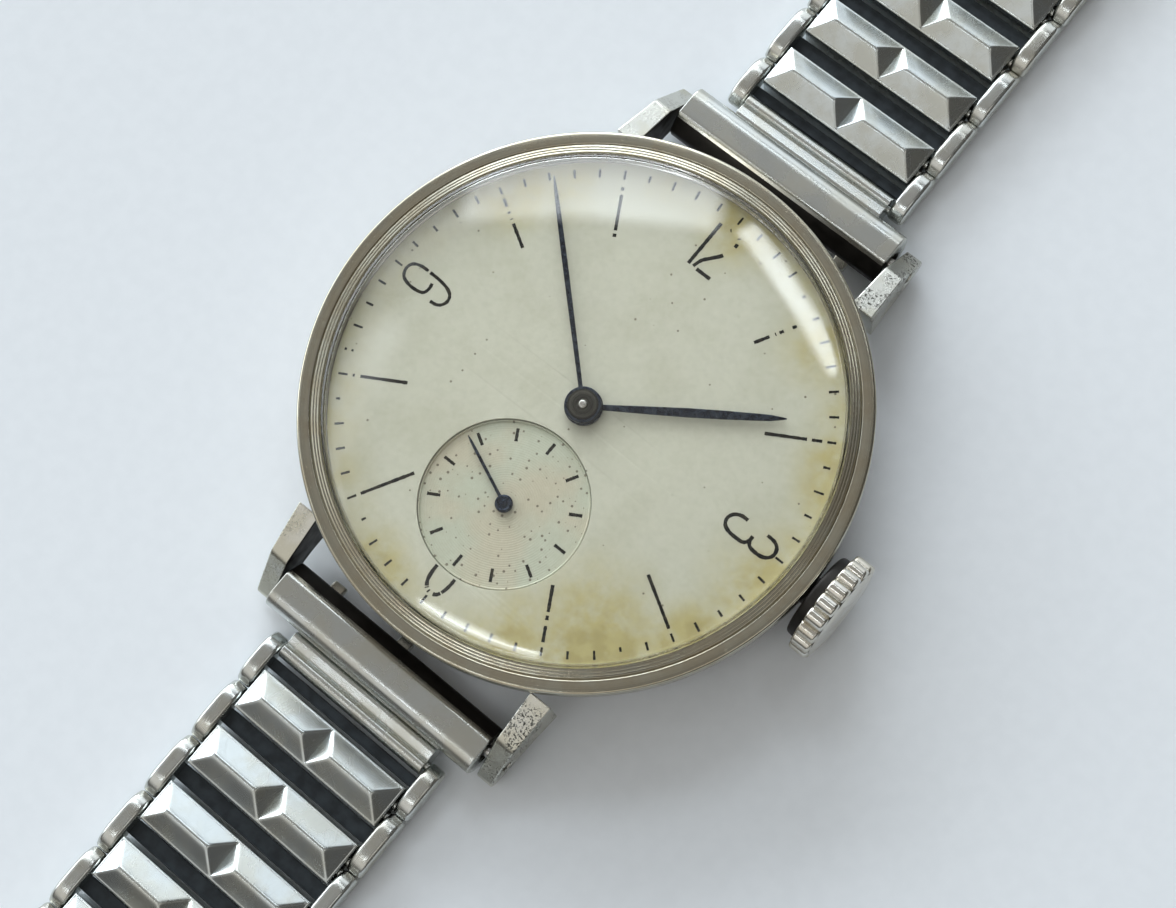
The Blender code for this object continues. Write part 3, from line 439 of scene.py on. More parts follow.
def dial_face(name, silver):
    """Aged silvered lacquer. Returns the look, its clouds and its grain, for each dial to add to."""
    look = Look(name, silver, 0.15, 0.5)
    cloud = look.noise(0.28, 3.0)
    look.cover(look.ramp(cloud, 0.4, 0.7, 0.0, 0.5), (0.41, 0.40, 0.30))
    return look, cloud, look.noise(2.2, 5.0, roughness=0.7)


def finish_dial(look, grain, specks):
    look.cover(look.times(specks, 0.85), (0.10, 0.08, 0.05))
    look.cover(look.ramp(grain, 0.3, 0.75, 0.0, 0.14), (0.24, 0.22, 0.15))
    look.dull(grain, 0.42, 0.6)
    look.bump(specks, 0.01, 0.4)
    return look.material


def main_dial_face():
    """Yellow-olive towards the rim and in patches, with a few specks and faint brushing."""
    look, cloud, grain = dial_face("dial_lacquer", (0.480, 0.472, 0.376))
    aged = yellowed(look, cloud)
    blotches = look.ramp(look.noise(0.6, 4.0, roughness=0.65), 0.25, 0.7, 0.45, 1.25)
    look.cover(look.math("MULTIPLY", aged, blotches, clamp=True), (0.40, 0.345, 0.15))
    deep = look.times(aged, look.noise(0.9, 3.0))
    look.cover(look.ramp(deep, 0.42, 0.7, 0.0, 0.6), (0.29, 0.24, 0.085))
    look.bump(look.noise(6.0, 2.0, (1.0, 0.12, 1.0)), 0.004, 0.5)
    return finish_dial(look, grain, fly_specks(look, 0.8, 0.06, 0.14))


def seconds_dial_face():
    """Finely turned, slightly pink in places and dotted all over."""
    look, _, grain = dial_face("seconds_lacquer", (0.431, 0.445, 0.345))
    look.cover(look.ramp(look.noise(0.25, 2.0), 0.4, 0.62, 0.0, 0.8), (0.46, 0.41, 0.30))
    rings = look.math("SINE", look.times(look.turned_radius((*SECONDS_CENTRE, 0.0)), TAU * 7))
    look.bump(rings, 0.004, 0.8)
    return finish_dial(look, grain, fly_specks(look, 1.6, 0.14, 0.85))


# Where the dial has yellowed: x, y, reach and amount
PATINA = ((9.0, -10.0, 6.0, 1.0), (5.2, -12.6, 3.5, 0.7), (-12.2, 7.8, 3.6, 0.95), (-9.6, 9.6, 2.8, 0.6),
          (0.3, 14.0, 3.2, 0.75), (8.6, 11.2, 3.4, 0.6), (13.9, 6.0, 3.4, 0.55), (14.6, -2.0, 4.5, 0.6),
          (13.6, -7.0, 3.6, 0.7), (-3.5, -14.6, 3.0, 0.35))


def printed_ink():
    look = Look("dial_ink", (0.004, 0.004, 0.004), 0.0, 0.7, Specular_IOR_Level=0.1)
    look.cover(look.ramp(look.noise(3.0, 3.0), 0.4, 0.75), (0.03, 0.025, 0.015))
    look.dull(look.noise(5.0, 2.0), 0.35, 0.6)
    return look.material


def blued_steel():
    look = Look("blued_steel", (0.015, 0.022, 0.04), 1.0, 0.26)
    fine = look.noise(2.5, 4.0, roughness=0.65)
    look.cover(look.ramp(fine, 0.35, 0.7), (0.045, 0.055, 0.07))
    look.dull(fine, 0.2, 0.38)
    look.bump(fine, 0.004, 0.6)
    return look.material


def boss_steel():
    """The turned top of the hands' boss: dull brown-grey rings."""
    look = Look("boss_steel", (0.015, 0.015, 0.012), 1.0, 0.35)
    rings = look.lines(look.turned_radius(), 6.0)
    fine = look.noise(6.0, 3.0)
    look.cover(look.ramp(rings, 0.35, 0.65), (0.085, 0.08, 0.065))
    look.cover(look.ramp(fine, 0.4, 0.8, 0.0, 0.5), (0.03, 0.028, 0.025))
    look.dull(fine, 0.28, 0.5)
    look.bump(rings, 0.01, 0.8)
    return look.material


def acrylic():
    """Clear acrylic. Light passes it without a shadow, so that it lights the dial behind it."""
    look = Look("acrylic", (0.985, 0.99, 0.98), 0.0, 0.02, Transmission_Weight=1.0, IOR=1.49)
    look.dull(look.noise(0.5, 3.0), 0.0, 0.035)
    look.bump(look.noise(0.25, 1.0), 0.02, 0.25)
    shadow = look.add("LightPath").outputs["Is Shadow Ray"]
    both = look.choose(shadow, look.shader.outputs[0], look.add("BsdfTransparent").outputs[0])
    look.feed(look.tree.nodes["Material Output"].inputs["Surface"], both)
    return look.material


def ground_metal(name, colour, roughness):
    """The movement's brass, nickel and steel, ground in one direction."""
    look = Look(name, colour, 1.0, roughness)
    fine = look.noise(2.0, 4.0)
    look.cover(look.ramp(fine, 0.3, 0.7), toned(colour, 0.8))
    look.dull(fine, roughness * 0.8, roughness * 1.3)
    look.bump(look.noise(5.0, 2.0, (1.0, 0.1, 1.0)), 0.003, 0.5)
    return look.material


ALONG_Z = (0.0, 0.0, 1.0)
ROUND_Z = (1.0, 1.0, 0.0)
CASE_TONE = (0.56, 0.53, 0.48)

bezel_steel = turned_steel("bezel_steel", (0.52, 0.50, 0.41), 0.18, ROUND_Z, 0.001)
case_steel = turned_steel("case_side_steel", CASE_TONE, 0.25, ALONG_Z)
back_steel = turned_steel("case_back_steel", CASE_TONE, 0.28, ROUND_Z)
lug_steel = pitted_steel("lug_steel", (0.61, 0.61, 0.56), 0.22)
crown_steel = polished_steel("crown_steel", (0.74, 0.73, 0.68), 0.2, 0.6)
end_steel = polished_steel("end_piece_steel", (0.60, 0.625, 0.61), 0.26, 0.03, 0.0, 0.12)
row_steel = polished_steel("row_steel", (0.60, 0.645, 0.65), 0.24, 0.35, 0.9, 0.8)
link_steel = polished_steel("link_steel", (0.63, 0.65, 0.63), 0.24, 0.5, 1.4)
# painted shade: near-black steel for the leaves that fill the gaps of the bracelet
gap_shade_steel = dark_steel("gap_shade_steel", (0.032, 0.039, 0.045))
# painted shade: near-black steel for the crevices by the case, the crown and the end pieces
painted_shade_steel = dark_steel("painted_shade_steel", (0.016, 0.014, 0.012))
clasp_steel = polished_steel("clasp_steel", (0.44, 0.44, 0.425), 0.5, 1.4, 1.57, 0.4)
bar_steel = polished_steel("spring_bar_steel", (0.6, 0.6, 0.59), 0.25)
dial_lacquer = main_dial_face()
seconds_lacquer = seconds_dial_face()
ink = printed_ink()
blued = blued_steel()
boss_metal = boss_steel()
clear_acrylic = acrylic()


# ---- case

def make_bezel():
    """A flat outer ring, a cut groove, then a stepped inner ring that slopes up to the crystal."""
    flat, rise, pitch = 6.36, 0.026, 0.175
    profile = [(16.05, 5.25, 0.05), (17.5, 5.25, 0.05), (17.5, 6.2, 0.08), (17.4, 6.31, 0.1),
               (16.7, flat, 0.05), (16.6, 6.24, 0.04)]
    for step in range(3):
        radius, height = 16.55 - pitch * step, flat + rise * step
        profile += [(radius, height), (radius - 0.14, height + rise), (radius - 0.16, height - 0.02)]
    profile += [(16.01, 6.46), (15.99, 6.42), (15.99, 5.4), (16.05, 5.4)]
    piece = turned("bezel_ring", softened(profile, 0.02, 3), segments=256)
    dress(piece, bezel_steel, "head", "bezel")


def make_lugs(side):
    """The two lugs on one side, tapering towards their tips, with holes for the spring bar."""
    outline = [(15.2, 1.35, 0.1), (17.0, 1.3, 0.4), (20.6, 0.45, 0.3), (21.0, 0.8, 0.25), (21.0, 1.25, 0.2),
               (18.6, 3.7, 0.25), (15.2, 4.9, 0.1)]
    hole = circle(0.5, 24, (side * BAR[0], BAR[1]))
    lugs = two_plates("lug", [softened(mirrored(side, outline)), hole], LUG_INNER_X, LUG_OUTER_X, 0.1)
    for hand, lug in zip((1, -1), lugs):
        for vertex in lug.data.vertices:
            if abs(vertex.co.x) / MM > (LUG_INNER_X + LUG_OUTER_X) / 2:
                vertex.co.x += hand * LUG_FLARE * (LUG_TIP_Y * MM - abs(vertex.co.y))
    return lugs


def make_case():
    """The case middle: a turned ring, polished lugs and a tube behind the crown; the tube and the lugs' inner
    walls are painted dark as shade.
    """
    ring = turned("ring", softened(
        [(14.5, 1.25, 0.05), (16.6, 1.25, 0.2), (16.95, 1.75, 0.3), (17.05, 3.2, 0.6), (17.0, 4.95, 0.15),
         (16.85, 5.18, 0.08), (16.0, 5.18, 0.03), (16.0, 4.85, 0.03), (14.5, 4.85, 0.03)]), segments=256)
    tube = turned("tube", [(0.75, 16.0), (0.95, 16.0), (0.95, 18.6), (0.88, 18.7), (0.75, 18.7)],
                  (0.0, STEM_Z), "x", 48)
    ring_faces = len(ring.data.polygons)
    piece = joined("case_body", [ring] + make_lugs(1) + make_lugs(-1) + [tube])
    dress(piece, lug_steel, "head", "case_middle")
    piece.data.materials.append(case_steel)
    piece.data.materials.append(painted_shade_steel)
    for polygon in piece.data.polygons:
        x, y, z = polygon.center / MM
        if polygon.index < ring_faces:
            polygon.material_index = 1
        # painted shade: the tube behind the crown and the lugs' inner walls take the near-black steel
        elif (x > 17.0 and math.hypot(y, z - STEM_Z) < 1.0) or abs(abs(x) - LUG_INNER_X) < 0.02:
            polygon.material_index = 2


def make_case_back():
    profile = [(0, 0), (14.4, 0, 0.3), (16.6, 0.75, 0.2), (16.6, 1.2, 0.05), (14.45, 1.2, 0.03),
               (14.45, 1.65, 0.05), (14.05, 1.65, 0.05), (14.05, 0.7, 0.1), (0, 0.7)]
    piece = turned("case_back_cover", softened(profile), segments=192)
    dress(piece, back_steel, "head", "case_back")


def dome(radius, edge, top, count=28):
    """A shallow spherical cap's profile, from its edge to its top."""
    rise = top - edge
    sphere = (radius ** 2 + rise ** 2) / (2 * rise)
    radii = [radius * (1 - k / (count - 1)) for k in range(count)]
    return [(r, top - sphere + math.sqrt(sphere ** 2 - r ** 2)) for r in radii]


def make_crystal():
    """A thin dome on an upright wall that stands inside the bezel."""
    apex, shoulder_r, shoulder_z, wall = 8.4, 15.72, 6.72, 0.35
    foot, outer_r, inner_r = 5.4, 15.96, 15.76
    outer = dome(shoulder_r, shoulder_z, apex)
    inner = dome(shoulder_r - 0.05, shoulder_z - wall, apex - wall)
    shoulder = softened([(outer_r, 5.5), (outer_r, 6.56), *outer[:2]], 0.15, 5, False)[:-1]
    inside = softened([inner[1], inner[0], (inner_r, 6.2), (inner_r, foot)], 0.1, 5, False)
    profile = [(outer_r, foot)] + shoulder + outer[1:] + inner[:1:-1] + inside
    piece = turned("crystal_dome", profile, segments=256)
    dress(piece, clear_acrylic, "head", "crystal", 60)


# ---- dial and its print

def make_dials():
    rim = plate("dial_plate", [circle(15.75, 192), circle(5.28, 128, SECONDS_CENTRE), circle(0.85, 48)],
                4.9, DIAL_Z, 0.03)
    dress(rim, dial_lacquer, "head", "dial")
    floor, back, flange = SECONDS_DIAL_Z, 4.7, 4.85
    profile = [(0.38, back), (5.6, back, 0.02), (5.6, flange, 0.02), (5.24, flange, 0.01),
               (5.24, floor + 0.12, 0.02), (5.16, floor + 0.14, 0.03), (5.1, floor, 0.03), (0.38, floor)]
    sunk = turned("small_seconds_plate", softened(profile), SECONDS_CENTRE, segments=128)
    dress(sunk, seconds_lacquer, "head", "small_seconds_dial")


def ribbon(points, width, z, wear, dice):
    """Thin raised strokes of ink along a line. wear is the share of the line that has flaked off."""
    samples = []
    spacing = 0.07
    for a, b in zip(points, points[1:]):
        a, b = Vector(a), Vector(b)
        count = max(1, round((b - a).length / spacing))
        samples += [a + (b - a) * (k / count) for k in range(count)]
    samples.append(Vector(points[-1]))
    runs, run, hold = [], [], 0
    for k, point in enumerate(samples):
        ahead = samples[min(k + 1, len(samples) - 1)] - samples[max(k - 1, 0)]
        normal = Vector((-ahead.y, ahead.x)).normalized()
        half = width / 2 * dice.uniform(0.82, 1.12)
        if hold > 0:
            hold -= 1
            continue
        if dice.random() < wear * 0.35 and len(samples) > 6:
            hold = dice.randint(1, 3)
            if len(run) > 1:
                runs.append(run)
            run = []
            continue
        run.append((point + normal * half, point - normal * half))
    if len(run) > 1:
        runs.append(run)
    low, high = z - 0.004, z + 0.008
    verts, faces = [], []
    for run in runs:
        start = len(verts)
        for left, right in run:
            verts += [(*left, high), (*right, high), (*right, low), (*left, low)]
        for k in range(len(run) - 1):
            p, q = start + 4 * k, start + 4 * k + 4
            faces += [(p + i, q + i, q + (i + 1) % 4, p + (i + 1) % 4) for i in range(4)]
        faces.append((start, start + 1, start + 2, start + 3))
        last = start + 4 * (len(run) - 1)
        faces.append((last + 3, last + 2, last + 1, last))
    return verts, faces


def print_piece(name, strokes, z, seed):
    dice = random.Random(seed)
    points, faces = [], []
    for line, width, wear in strokes:
        verts, quads = ribbon(line, width, z, wear, dice)
        start = len(points)
        points += verts
        faces += [tuple(start + i for i in quad) for quad in quads]
    piece = new_mesh(name, points, faces)
    dress(piece, ink, "head")


def smooth_line(points, steps=7):
    """A curve through the points."""
    result = []
    for i in range(len(points) - 1):
        p0 = Vector(points[max(i - 1, 0)])
        p1, p2 = Vector(points[i]), Vector(points[i + 1])
        p3 = Vector(points[min(i + 2, len(points) - 1)])
        for k in range(steps):
            t = k / steps
            result.append(0.5 * (2 * p1 + (p2 - p0) * t + (2 * p0 - 5 * p1 + 4 * p2 - p3) * t ** 2
                                 + (3 * p1 - p0 - 3 * p2 + p3) * t ** 3))
    result.append(Vector(points[-1]))
    return result


def numerals():
    """The strokes of 12, 3, 6 and 9, each with its width and the share of it that has flaked off. The small
    seconds dial cuts off the top of the 6."""
    two = smooth_line([(-0.36, 13.1), (-0.36, 13.7), (-0.05, 14.22), (0.35, 14.3), (0.72, 13.98),
                       (0.78, 13.4), (0.54, 12.67), (0.1, 12.1), (-0.3, 11.6), (-0.48, 11.02)])
    three_inner = smooth_line([(12.05, 0.73), (11.6, 0.72), (11.2, 0.52), (11.0, 0.12), (11.16, -0.3),
                               (11.6, -0.5), (12.2, -0.53), (12.65, -0.47), (12.86, -0.2), (12.88, 0.16)])
    three_outer = smooth_line([(12.88, -0.1), (13.08, -0.42), (13.55, -0.52), (14.1, -0.46), (14.45, -0.2),
                               (14.54, 0.15), (14.4, 0.5), (14.05, 0.7), (13.52, 0.74)])
    six = smooth_line([(-0.71, -12.9), (-0.69, -13.4), (-0.58, -13.95), (-0.3, -14.33), (0.05, -14.44),
                       (0.42, -14.3), (0.62, -13.9), (0.7, -13.4), (0.7, -12.92)])
    nine = smooth_line([(-12.45, 0.27), (-12.38, -0.1), (-12.5, -0.5), (-12.95, -0.66), (-13.6, -0.66),
                        (-14.15, -0.45), (-14.38, 0.05), (-14.22, 0.5), (-13.7, 0.72), (-13.0, 0.74),
                        (-12.2, 0.72), (-11.5, 0.6), (-11.08, 0.35), (-10.95, -0.05), (-11.1, -0.42),
                        (-11.4, -0.62), (-11.82, -0.67)])
    thick = 0.24
    thin = thick * 0.9
    return [([(-0.84, 14.2), (-0.83, 10.98)], thick, 0.05),
            (two[:42], thin, 0.85), (two[42:], thick, 0.04), ([(-0.48, 11.0), (0.86, 10.99)], thick, 0.05),
            (three_inner, thick, 0.0), (three_outer, thick, 0.04), (nine, thin, 0.03),
            (six[:20], thick, 0.04), (six[20:40], thick, 0.2), (six[40:], thick, 0.08)]


def radial(angle, inner, outer, centre=(0.0, 0.0)):
    """A stroke outwards, at this angle clockwise from 12."""
    x, y = math.sin(math.radians(angle)), math.cos(math.radians(angle))
    return [(centre[0] + radius * x, centre[1] + radius * y) for radius in (inner, outer)]


def make_print():
    strokes = numerals()
    worn_hours = {1: 0.5, 2: 0.08, 4: 0.2, 5: 0.45, 7: 0.05, 8: 0.04, 10: 0.35, 11: 0.3}
    for hour, wear in worn_hours.items():
        strokes.append((radial(30 * hour, 10.97, 12.4), 0.22, wear * 0.25))
        strokes.append((radial(30 * hour, 12.4, 14.43), 0.2, wear))
    print_piece("dial_numerals", strokes, DIAL_Z, 5)
    dice = random.Random(12)
    minutes = []
    for minute in range(60):
        inner = 14.75 + dice.uniform(-0.06, 0.06)
        minutes.append((radial(6 * minute, inner, 15.3 + dice.uniform(-0.08, 0.04)), 0.15, 0.06))
    print_piece("dial_minute_track", minutes, DIAL_Z, 8)
    seconds = [(radial(30 * k, 3.95, 4.77, SECONDS_CENTRE), 0.2, 0.0) for k in range(12)]
    print_piece("small_seconds_track", seconds, SECONDS_DIAL_Z, 3)


# ---- hands

def hand_blade(centre, angle, sections, low, high, edge):
    """A hand's blade from (distance from the centre, width) sections."""
    left = [(d, w / 2) for d, w in sections]
    right = [(d, -w / 2) for d, w in reversed(sections)]
    turn = math.radians(90 - angle)
    cos, sin = math.cos(turn), math.sin(turn)
    outline = [(centre[0] + u * cos - v * sin, centre[1] + u * sin + v * cos) for u, v in left + right]
    return plate("blade", [outline], low, high, edge, resolution=2)


def collar(inner, outer, low, high, rounding):
    """The round boss of a hand, on the axis of the watch."""
    outline = [(inner, low), (outer, low), (outer, high), (inner, high)]
    return turned("collar", softened(outline, rounding), segments=64)


def make_hour_hand():
    sections = [(1.0, 0.34), (2.0, 0.38), (4.0, 0.48), (6.3, 0.57), (8.5, 0.53), (10.6, 0.42), (11.3, 0.36),
                (12.2, 0.08)]
    parts = [hand_blade((0, 0), 55.4, sections, 5.55, 5.70, 0.03), collar(0.8, 1.18, 5.45, 5.76, 0.05)]
    dress(joined("hour_hand_blued", parts), blued, "hour", "hour_hand")


def make_minute_hand():
    """The blade with its blued boss, a turned cap on it and the tip of the arbor in the middle."""
    sections = [(0.8, 0.26), (2.0, 0.27), (6.0, 0.32), (9.5, 0.34), (12.5, 0.28), (13.9, 0.22), (14.7, 0.07)]
    parts = [hand_blade((0, 0), 313.3, sections, 6.0, 6.13, 0.025), collar(0.3, 1.13, 5.8, 6.14, 0.06)]
    dress(joined("minute_hand_blued", parts), blued, "centre", "minute_hand")
    cap = [(0, 6.0), (0.96, 6.0, 0.02), (0.96, 6.17, 0.05), (0.42, 6.19, 0.03), (0.40, 6.15, 0.03),
           (0.30, 6.15, 0.03), (0.28, 6.2, 0.04), (0.2, 6.24, 0.08), (0, 6.25)]
    cap = turned("minute_hand_boss", softened(cap, steps=3), segments=64)
    dress(cap, boss_metal, "centre")
    tip = [(0, 6.15), (0.25, 6.15, 0.02), (0.25, 6.25, 0.06), (0.15, 6.28, 0.06), (0, 6.285)]
    tip = turned("centre_arbor_tip", softened(tip, steps=3), segments=48)
    dress(tip, bar_steel, "centre")


def make_seconds_hand():
    sections = [(0.3, 0.22), (1.2, 0.19), (3.5, 0.2), (4.4, 0.16), (4.8, 0.06)]
    boss = [(0.28, 5.15, 0.02), (0.55, 5.15, 0.04), (0.55, 5.42, 0.06), (0.4, 5.45, 0.03), (0.36, 5.41, 0.03),
            (0.22, 5.41, 0.03), (0.18, 5.46, 0.03), (0.0, 5.47), (0.0, 5.3), (0.28, 5.3, 0.02)]
    parts = [hand_blade(SECONDS_CENTRE, 293.0, sections, 5.27, 5.36, 0.02),
             turned("boss", softened(boss), SECONDS_CENTRE, segments=48)]
    dress(joined("seconds_hand_blued", parts), blued, "fourth", "seconds_hand")


# ---- crown

def make_crown():
    """A fluted crown with a domed face, and a skirt between it and the case, painted dark as shade."""
    ribs, depth, face_r = 18, 0.40, 3.1

    def fluted(radius, angle):
        return radius if radius < face_r else radius - depth * (1 - abs(math.cos(angle * ribs / 2)) ** 0.6)

    profile = [(1.2, 18.32, 0.05), (3.0, 18.32, 0.1), (3.34, 18.34, 0.06), (3.44, 18.44, 0.1),
               (3.44, 19.46, 0.1), (3.34, 19.58, 0.06), (3.105, 19.62, 0.05), (2.95, 19.64, 0.05),
               (2.6, 19.76, 0.3), (1.6, 19.83, 0.4), (0, 19.84), (0, 19.3), (0.65, 19.3, 0.02),
               (0.65, 18.8, 0.02), (1.2, 18.8, 0.05)]
    piece = turned("crown_fluted", softened(profile, steps=3), (0.0, STEM_Z), "x", ribs * 16, fluted)
    dress(piece, crown_steel, "crown", "crown", 40)
    profile = [(1.2, 17.66, 0.05), (2.65, 17.66, 0.1), (2.78, 17.8, 0.1), (2.85, 18.5, 0.05),
               (1.2, 18.5, 0.05)]
    # painted shade: the skirt is near-black, for the shade between crown and case
    skirt = turned("crown_skirt", softened(profile), (0.0, STEM_Z), "x", 96)
    dress(skirt, painted_shade_steel, "crown")


# ---- bracelet

def make_end_piece(letter, side):
    """The roof-shaped tube between the lugs, painted dark as shade on its case side, two tabs before it, and
    the ribbed knuckle for the first links."""
    y, z = BAR
    about_bar = [(-1.55, 0.3, 0.2), (-1.5, -0.5, 0.3), (-1.0, -1.2, 0.4), (0, -1.55, 0.4), (1.0, -1.25, 0.4),
                 (1.6, -0.6, 0.3), (1.85, 0.3, 0.3), (1.75, 1.0, 0.25), (1.2, 1.5, 0.5), (-0.5, 1.5, 0.22),
                 (-0.9, 1.1, 0.2)]
    section = softened(mirrored(side, [(y + v, z + w, r) for v, w, r in about_bar]), steps=6)
    tube = plate("tube", [section, circle(0.85, 32, (side * y, z))], -8.2, 8.2, 0.1, "x")
    ribs = [(20.9, 0.55, 0.1), (20.9, 1.55, 0.1), (21.36, 1.55, 0.06), (21.42, 1.85, 0.1), (21.62, 1.9, 0.1),
            (22.2, 1.78, 0.1), (22.32, 1.62, 0.05), (22.46, 1.88, 0.18), (22.86, 1.9, 0.2), (23.18, 1.6, 0.2),
            (23.25, 1.0, 0.25), (22.95, 0.5, 0.25), (22.4, 0.35, 0.2)]
    parts = [tube, plate("knuckle", [softened(mirrored(side, ribs))], -5.74, 5.74, 0.05, "x")]
    tab = softened(mirrored(side, [(17.4, 1.0), (18.9, 1.0), (18.9, 2.15), (17.4, 1.4)]), 0.15)
    parts += [plate("tab", [tab], side * x - 0.5, side * x + 0.5, 0.15, "x") for x in (0.1, 5.6)]
    tube_faces = len(tube.data.polygons)
    piece = joined(f"end_piece_{letter}_tube", parts)
    dress(piece, end_steel, "end_" + letter, "end_piece_" + letter)
    piece.data.materials.append(painted_shade_steel)
    # painted shade: the case side of the tube takes the near-black steel
    for polygon in piece.data.polygons[:tube_faces]:
        centre = polygon.center / MM
        if abs(centre.y) < y - SHADE_EDGE and abs(polygon.normal.x) < 0.5 and centre.z < z + SHADE_TOP:
            polygon.material_index = 1


def make_spring_bar(letter, side):
    half = [(0, -9.3), (0.4, -9.3, 0.1), (0.4, -7.9, 0.03), (0.75, -7.9, 0.05), (0.75, -7.2, 0.05),
            (0.6, -7.1, 0.05)]
    profile = softened(half + [(radius, -x, *rest) for radius, x, *rest in reversed(half)])
    piece = turned(f"spring_bar_{letter}_turned", profile, (side * BAR[0], BAR[1]), "x", 40)
    dress(piece, bar_steel, "head", "spring_bar_" + letter)


def eye(y, start, end):
    """The round end of a side plate, about a pin at this y."""
    return [(u, v, 0.05) for u, v in arc(EYE_R, start, end, 7, (y, PIN_Z))]


def make_links(letter, number, side, start, end):
    """Two bean-shaped side plates, the cross pins between them and a leaf under the gap, painted dark as
    shade.
    """
    top = [(start + 0.05, 1.62, 0.3), (start + 0.75, 1.9, 0.5), (end - 0.75, 1.9, 0.5),
           (end - 0.05, 1.62, 0.3)]
    outline = softened(mirrored(side, eye(start, 270, 150) + top + eye(end, 30, -90)))
    parts = two_plates("bean", [outline], 5.86, 7.02, 0.3, 5)
    parts += [pin(0.3, PIN_HALF, 0.1, (side * y, PIN_Z)) for y in (start, end)]
    name = f"links_{letter}{number}"
    dress(joined(name + "_plates", parts), link_steel, name, name)
    middle = FIRST_ROW_Y + PITCH * (number - 1.5)
    near, far = (middle - 0.525, middle + 0.525) if number > 1 else (23.45, 24.15)
    low, high = sorted((side * near, side * far))
    # painted shade: a near-black leaf fills the gap between rows
    leaf = plate(name + "_shade_leaf", [rectangle(-5.9, low, 5.9, high, 0.1)], 0.6, 0.85, 0.05)
    dress(leaf, gap_shade_steel, name)


def roof_height(x, v):
    """Two hipped roofs end to end, with soft ridges and a crisp valley between them at x = 0."""
    rise, round_over, hip, blend = 0.89, 0.14, 1.25, 0.035
    across = rise * (ROOF_WIDTH - math.hypot(v, round_over)) / ROOF_WIDTH
    along = rise * min(abs(x), ROOF_LENGTH - abs(x)) / hip
    return max(0.0, -blend * math.log(math.exp(-across / blend) + math.exp(-along / blend)))


def make_roofs(side, y):
    """A closed solid: a fine grid over the roofs' height, a short wall round it and a flat underside."""
    columns, rows = 140, 32
    points, faces = [], []
    for i in range(columns + 1):
        x = ROOF_LENGTH * (2 * i / columns - 1)
        for j in range(rows + 1):
            v = ROOF_WIDTH * (2 * j / rows - 1)
            points.append((x, side * (y + v), EAVES + roof_height(x, v)))
    width = rows + 1
    for i in range(columns):
        for j in range(rows):
            near, far = i * width + j, (i + 1) * width + j
            faces.append((near, far, far + 1, near + 1))
    border = [i * width for i in range(columns + 1)] + [columns * width + j for j in range(1, width)] \
        + [i * width + rows for i in range(columns - 1, -1, -1)] + list(range(rows - 1, 0, -1))
    start, count = len(points), len(border)
    points += [(points[k][0], points[k][1], EAVES - 0.1) for k in border]
    for k in range(count):
        n = (k + 1) % count
        faces.append((border[k], border[n], start + n, start + k))
    faces.append(tuple(range(start, start + count)))
    return new_mesh("roofs", points, faces)


def make_row(letter, number, side, y):
    """One row: a box with a hollow in each end, under two hipped roofs."""
    length, width, wall_top = 5.75, 1.45, 1.74
    hollow, floor, ceiling = 1.15, 0.3, 1.45
    points = []

    def corners(*places):
        points.extend((x, side * (y + v), z) for x, v, z in places)
        return list(range(len(points) - 4, len(points)))

    def around(x, v, z):
        return corners((-x, -v, z), (x, -v, z), (x, v, z), (-x, v, z))

    low = around(length, width, 0)
    rim = around(length, width, wall_top)
    top = around(ROOF_LENGTH, ROOF_WIDTH, EAVES)
    mouths = [corners((x, -hollow, floor), (x, hollow, floor), (x, hollow, ceiling), (x, -hollow, ceiling))
              for x in (-length, length)]
    faces = [tuple(low), tuple(top), (low[0], low[1], rim[1], rim[0]), (low[2], low[3], rim[3], rim[2])]
    ends = ([low[0], low[3], rim[3], rim[0]], [low[1], low[2], rim[2], rim[1]])
    for i in range(4):
        j = (i + 1) % 4
        faces.append((rim[i], rim[j], top[j], top[i]))
        faces.append((mouths[0][i], mouths[0][j], mouths[1][j], mouths[1][i]))
        for end, mouth in zip(ends, mouths):
            faces.append((end[i], end[j], mouth[j], mouth[i]))
    box = apply(new_mesh("box", points, faces), "BEVEL", width=0.035 * MM, segments=2, limit_method="ANGLE",
                angle_limit=math.radians(24))
    name = f"row_{letter}{number}"
    dress(joined(name + "_roofs", [box, make_roofs(side, y)]), row_steel, name, name, 30)


def make_band(letter, side):
    """One half of the bracelet. Returns how far out its clasp hangs."""
    make_spring_bar(letter, side)
    make_end_piece(letter, side)
    hinge = KNUCKLE_Y
    for number in range(1, ROWS + 1):
        y = FIRST_ROW_Y + PITCH * (number - 1)
        make_links(letter, number, side, hinge, y + SLIDE_PIN)
        make_row(letter, number, side, y)
        hinge = y + HINGE_PIN
    return hinge


# ---- clasp

def clasp_ends(side, hinge):
    """The side plates and pin that hang a clasp half on the last row."""
    start = hinge + CLASP_REACH
    top = [(hinge + 0.1, 1.65, 0.3), (start - 1.35, 1.9, 0.5), (start + 0.6, 1.85, 0.4),
           (start + 1.6, 0.5, 0.2), (start - 0.8, 0.1, 0.2)]
    outline = softened(mirrored(side, eye(hinge, 270, 150) + top))
    hinge_pin = pin(0.3, PIN_HALF, 0.1, (side * hinge, PIN_Z))
    return two_plates("bean", [outline], 5.86, 7.0, 0.22, 4) + [hinge_pin]


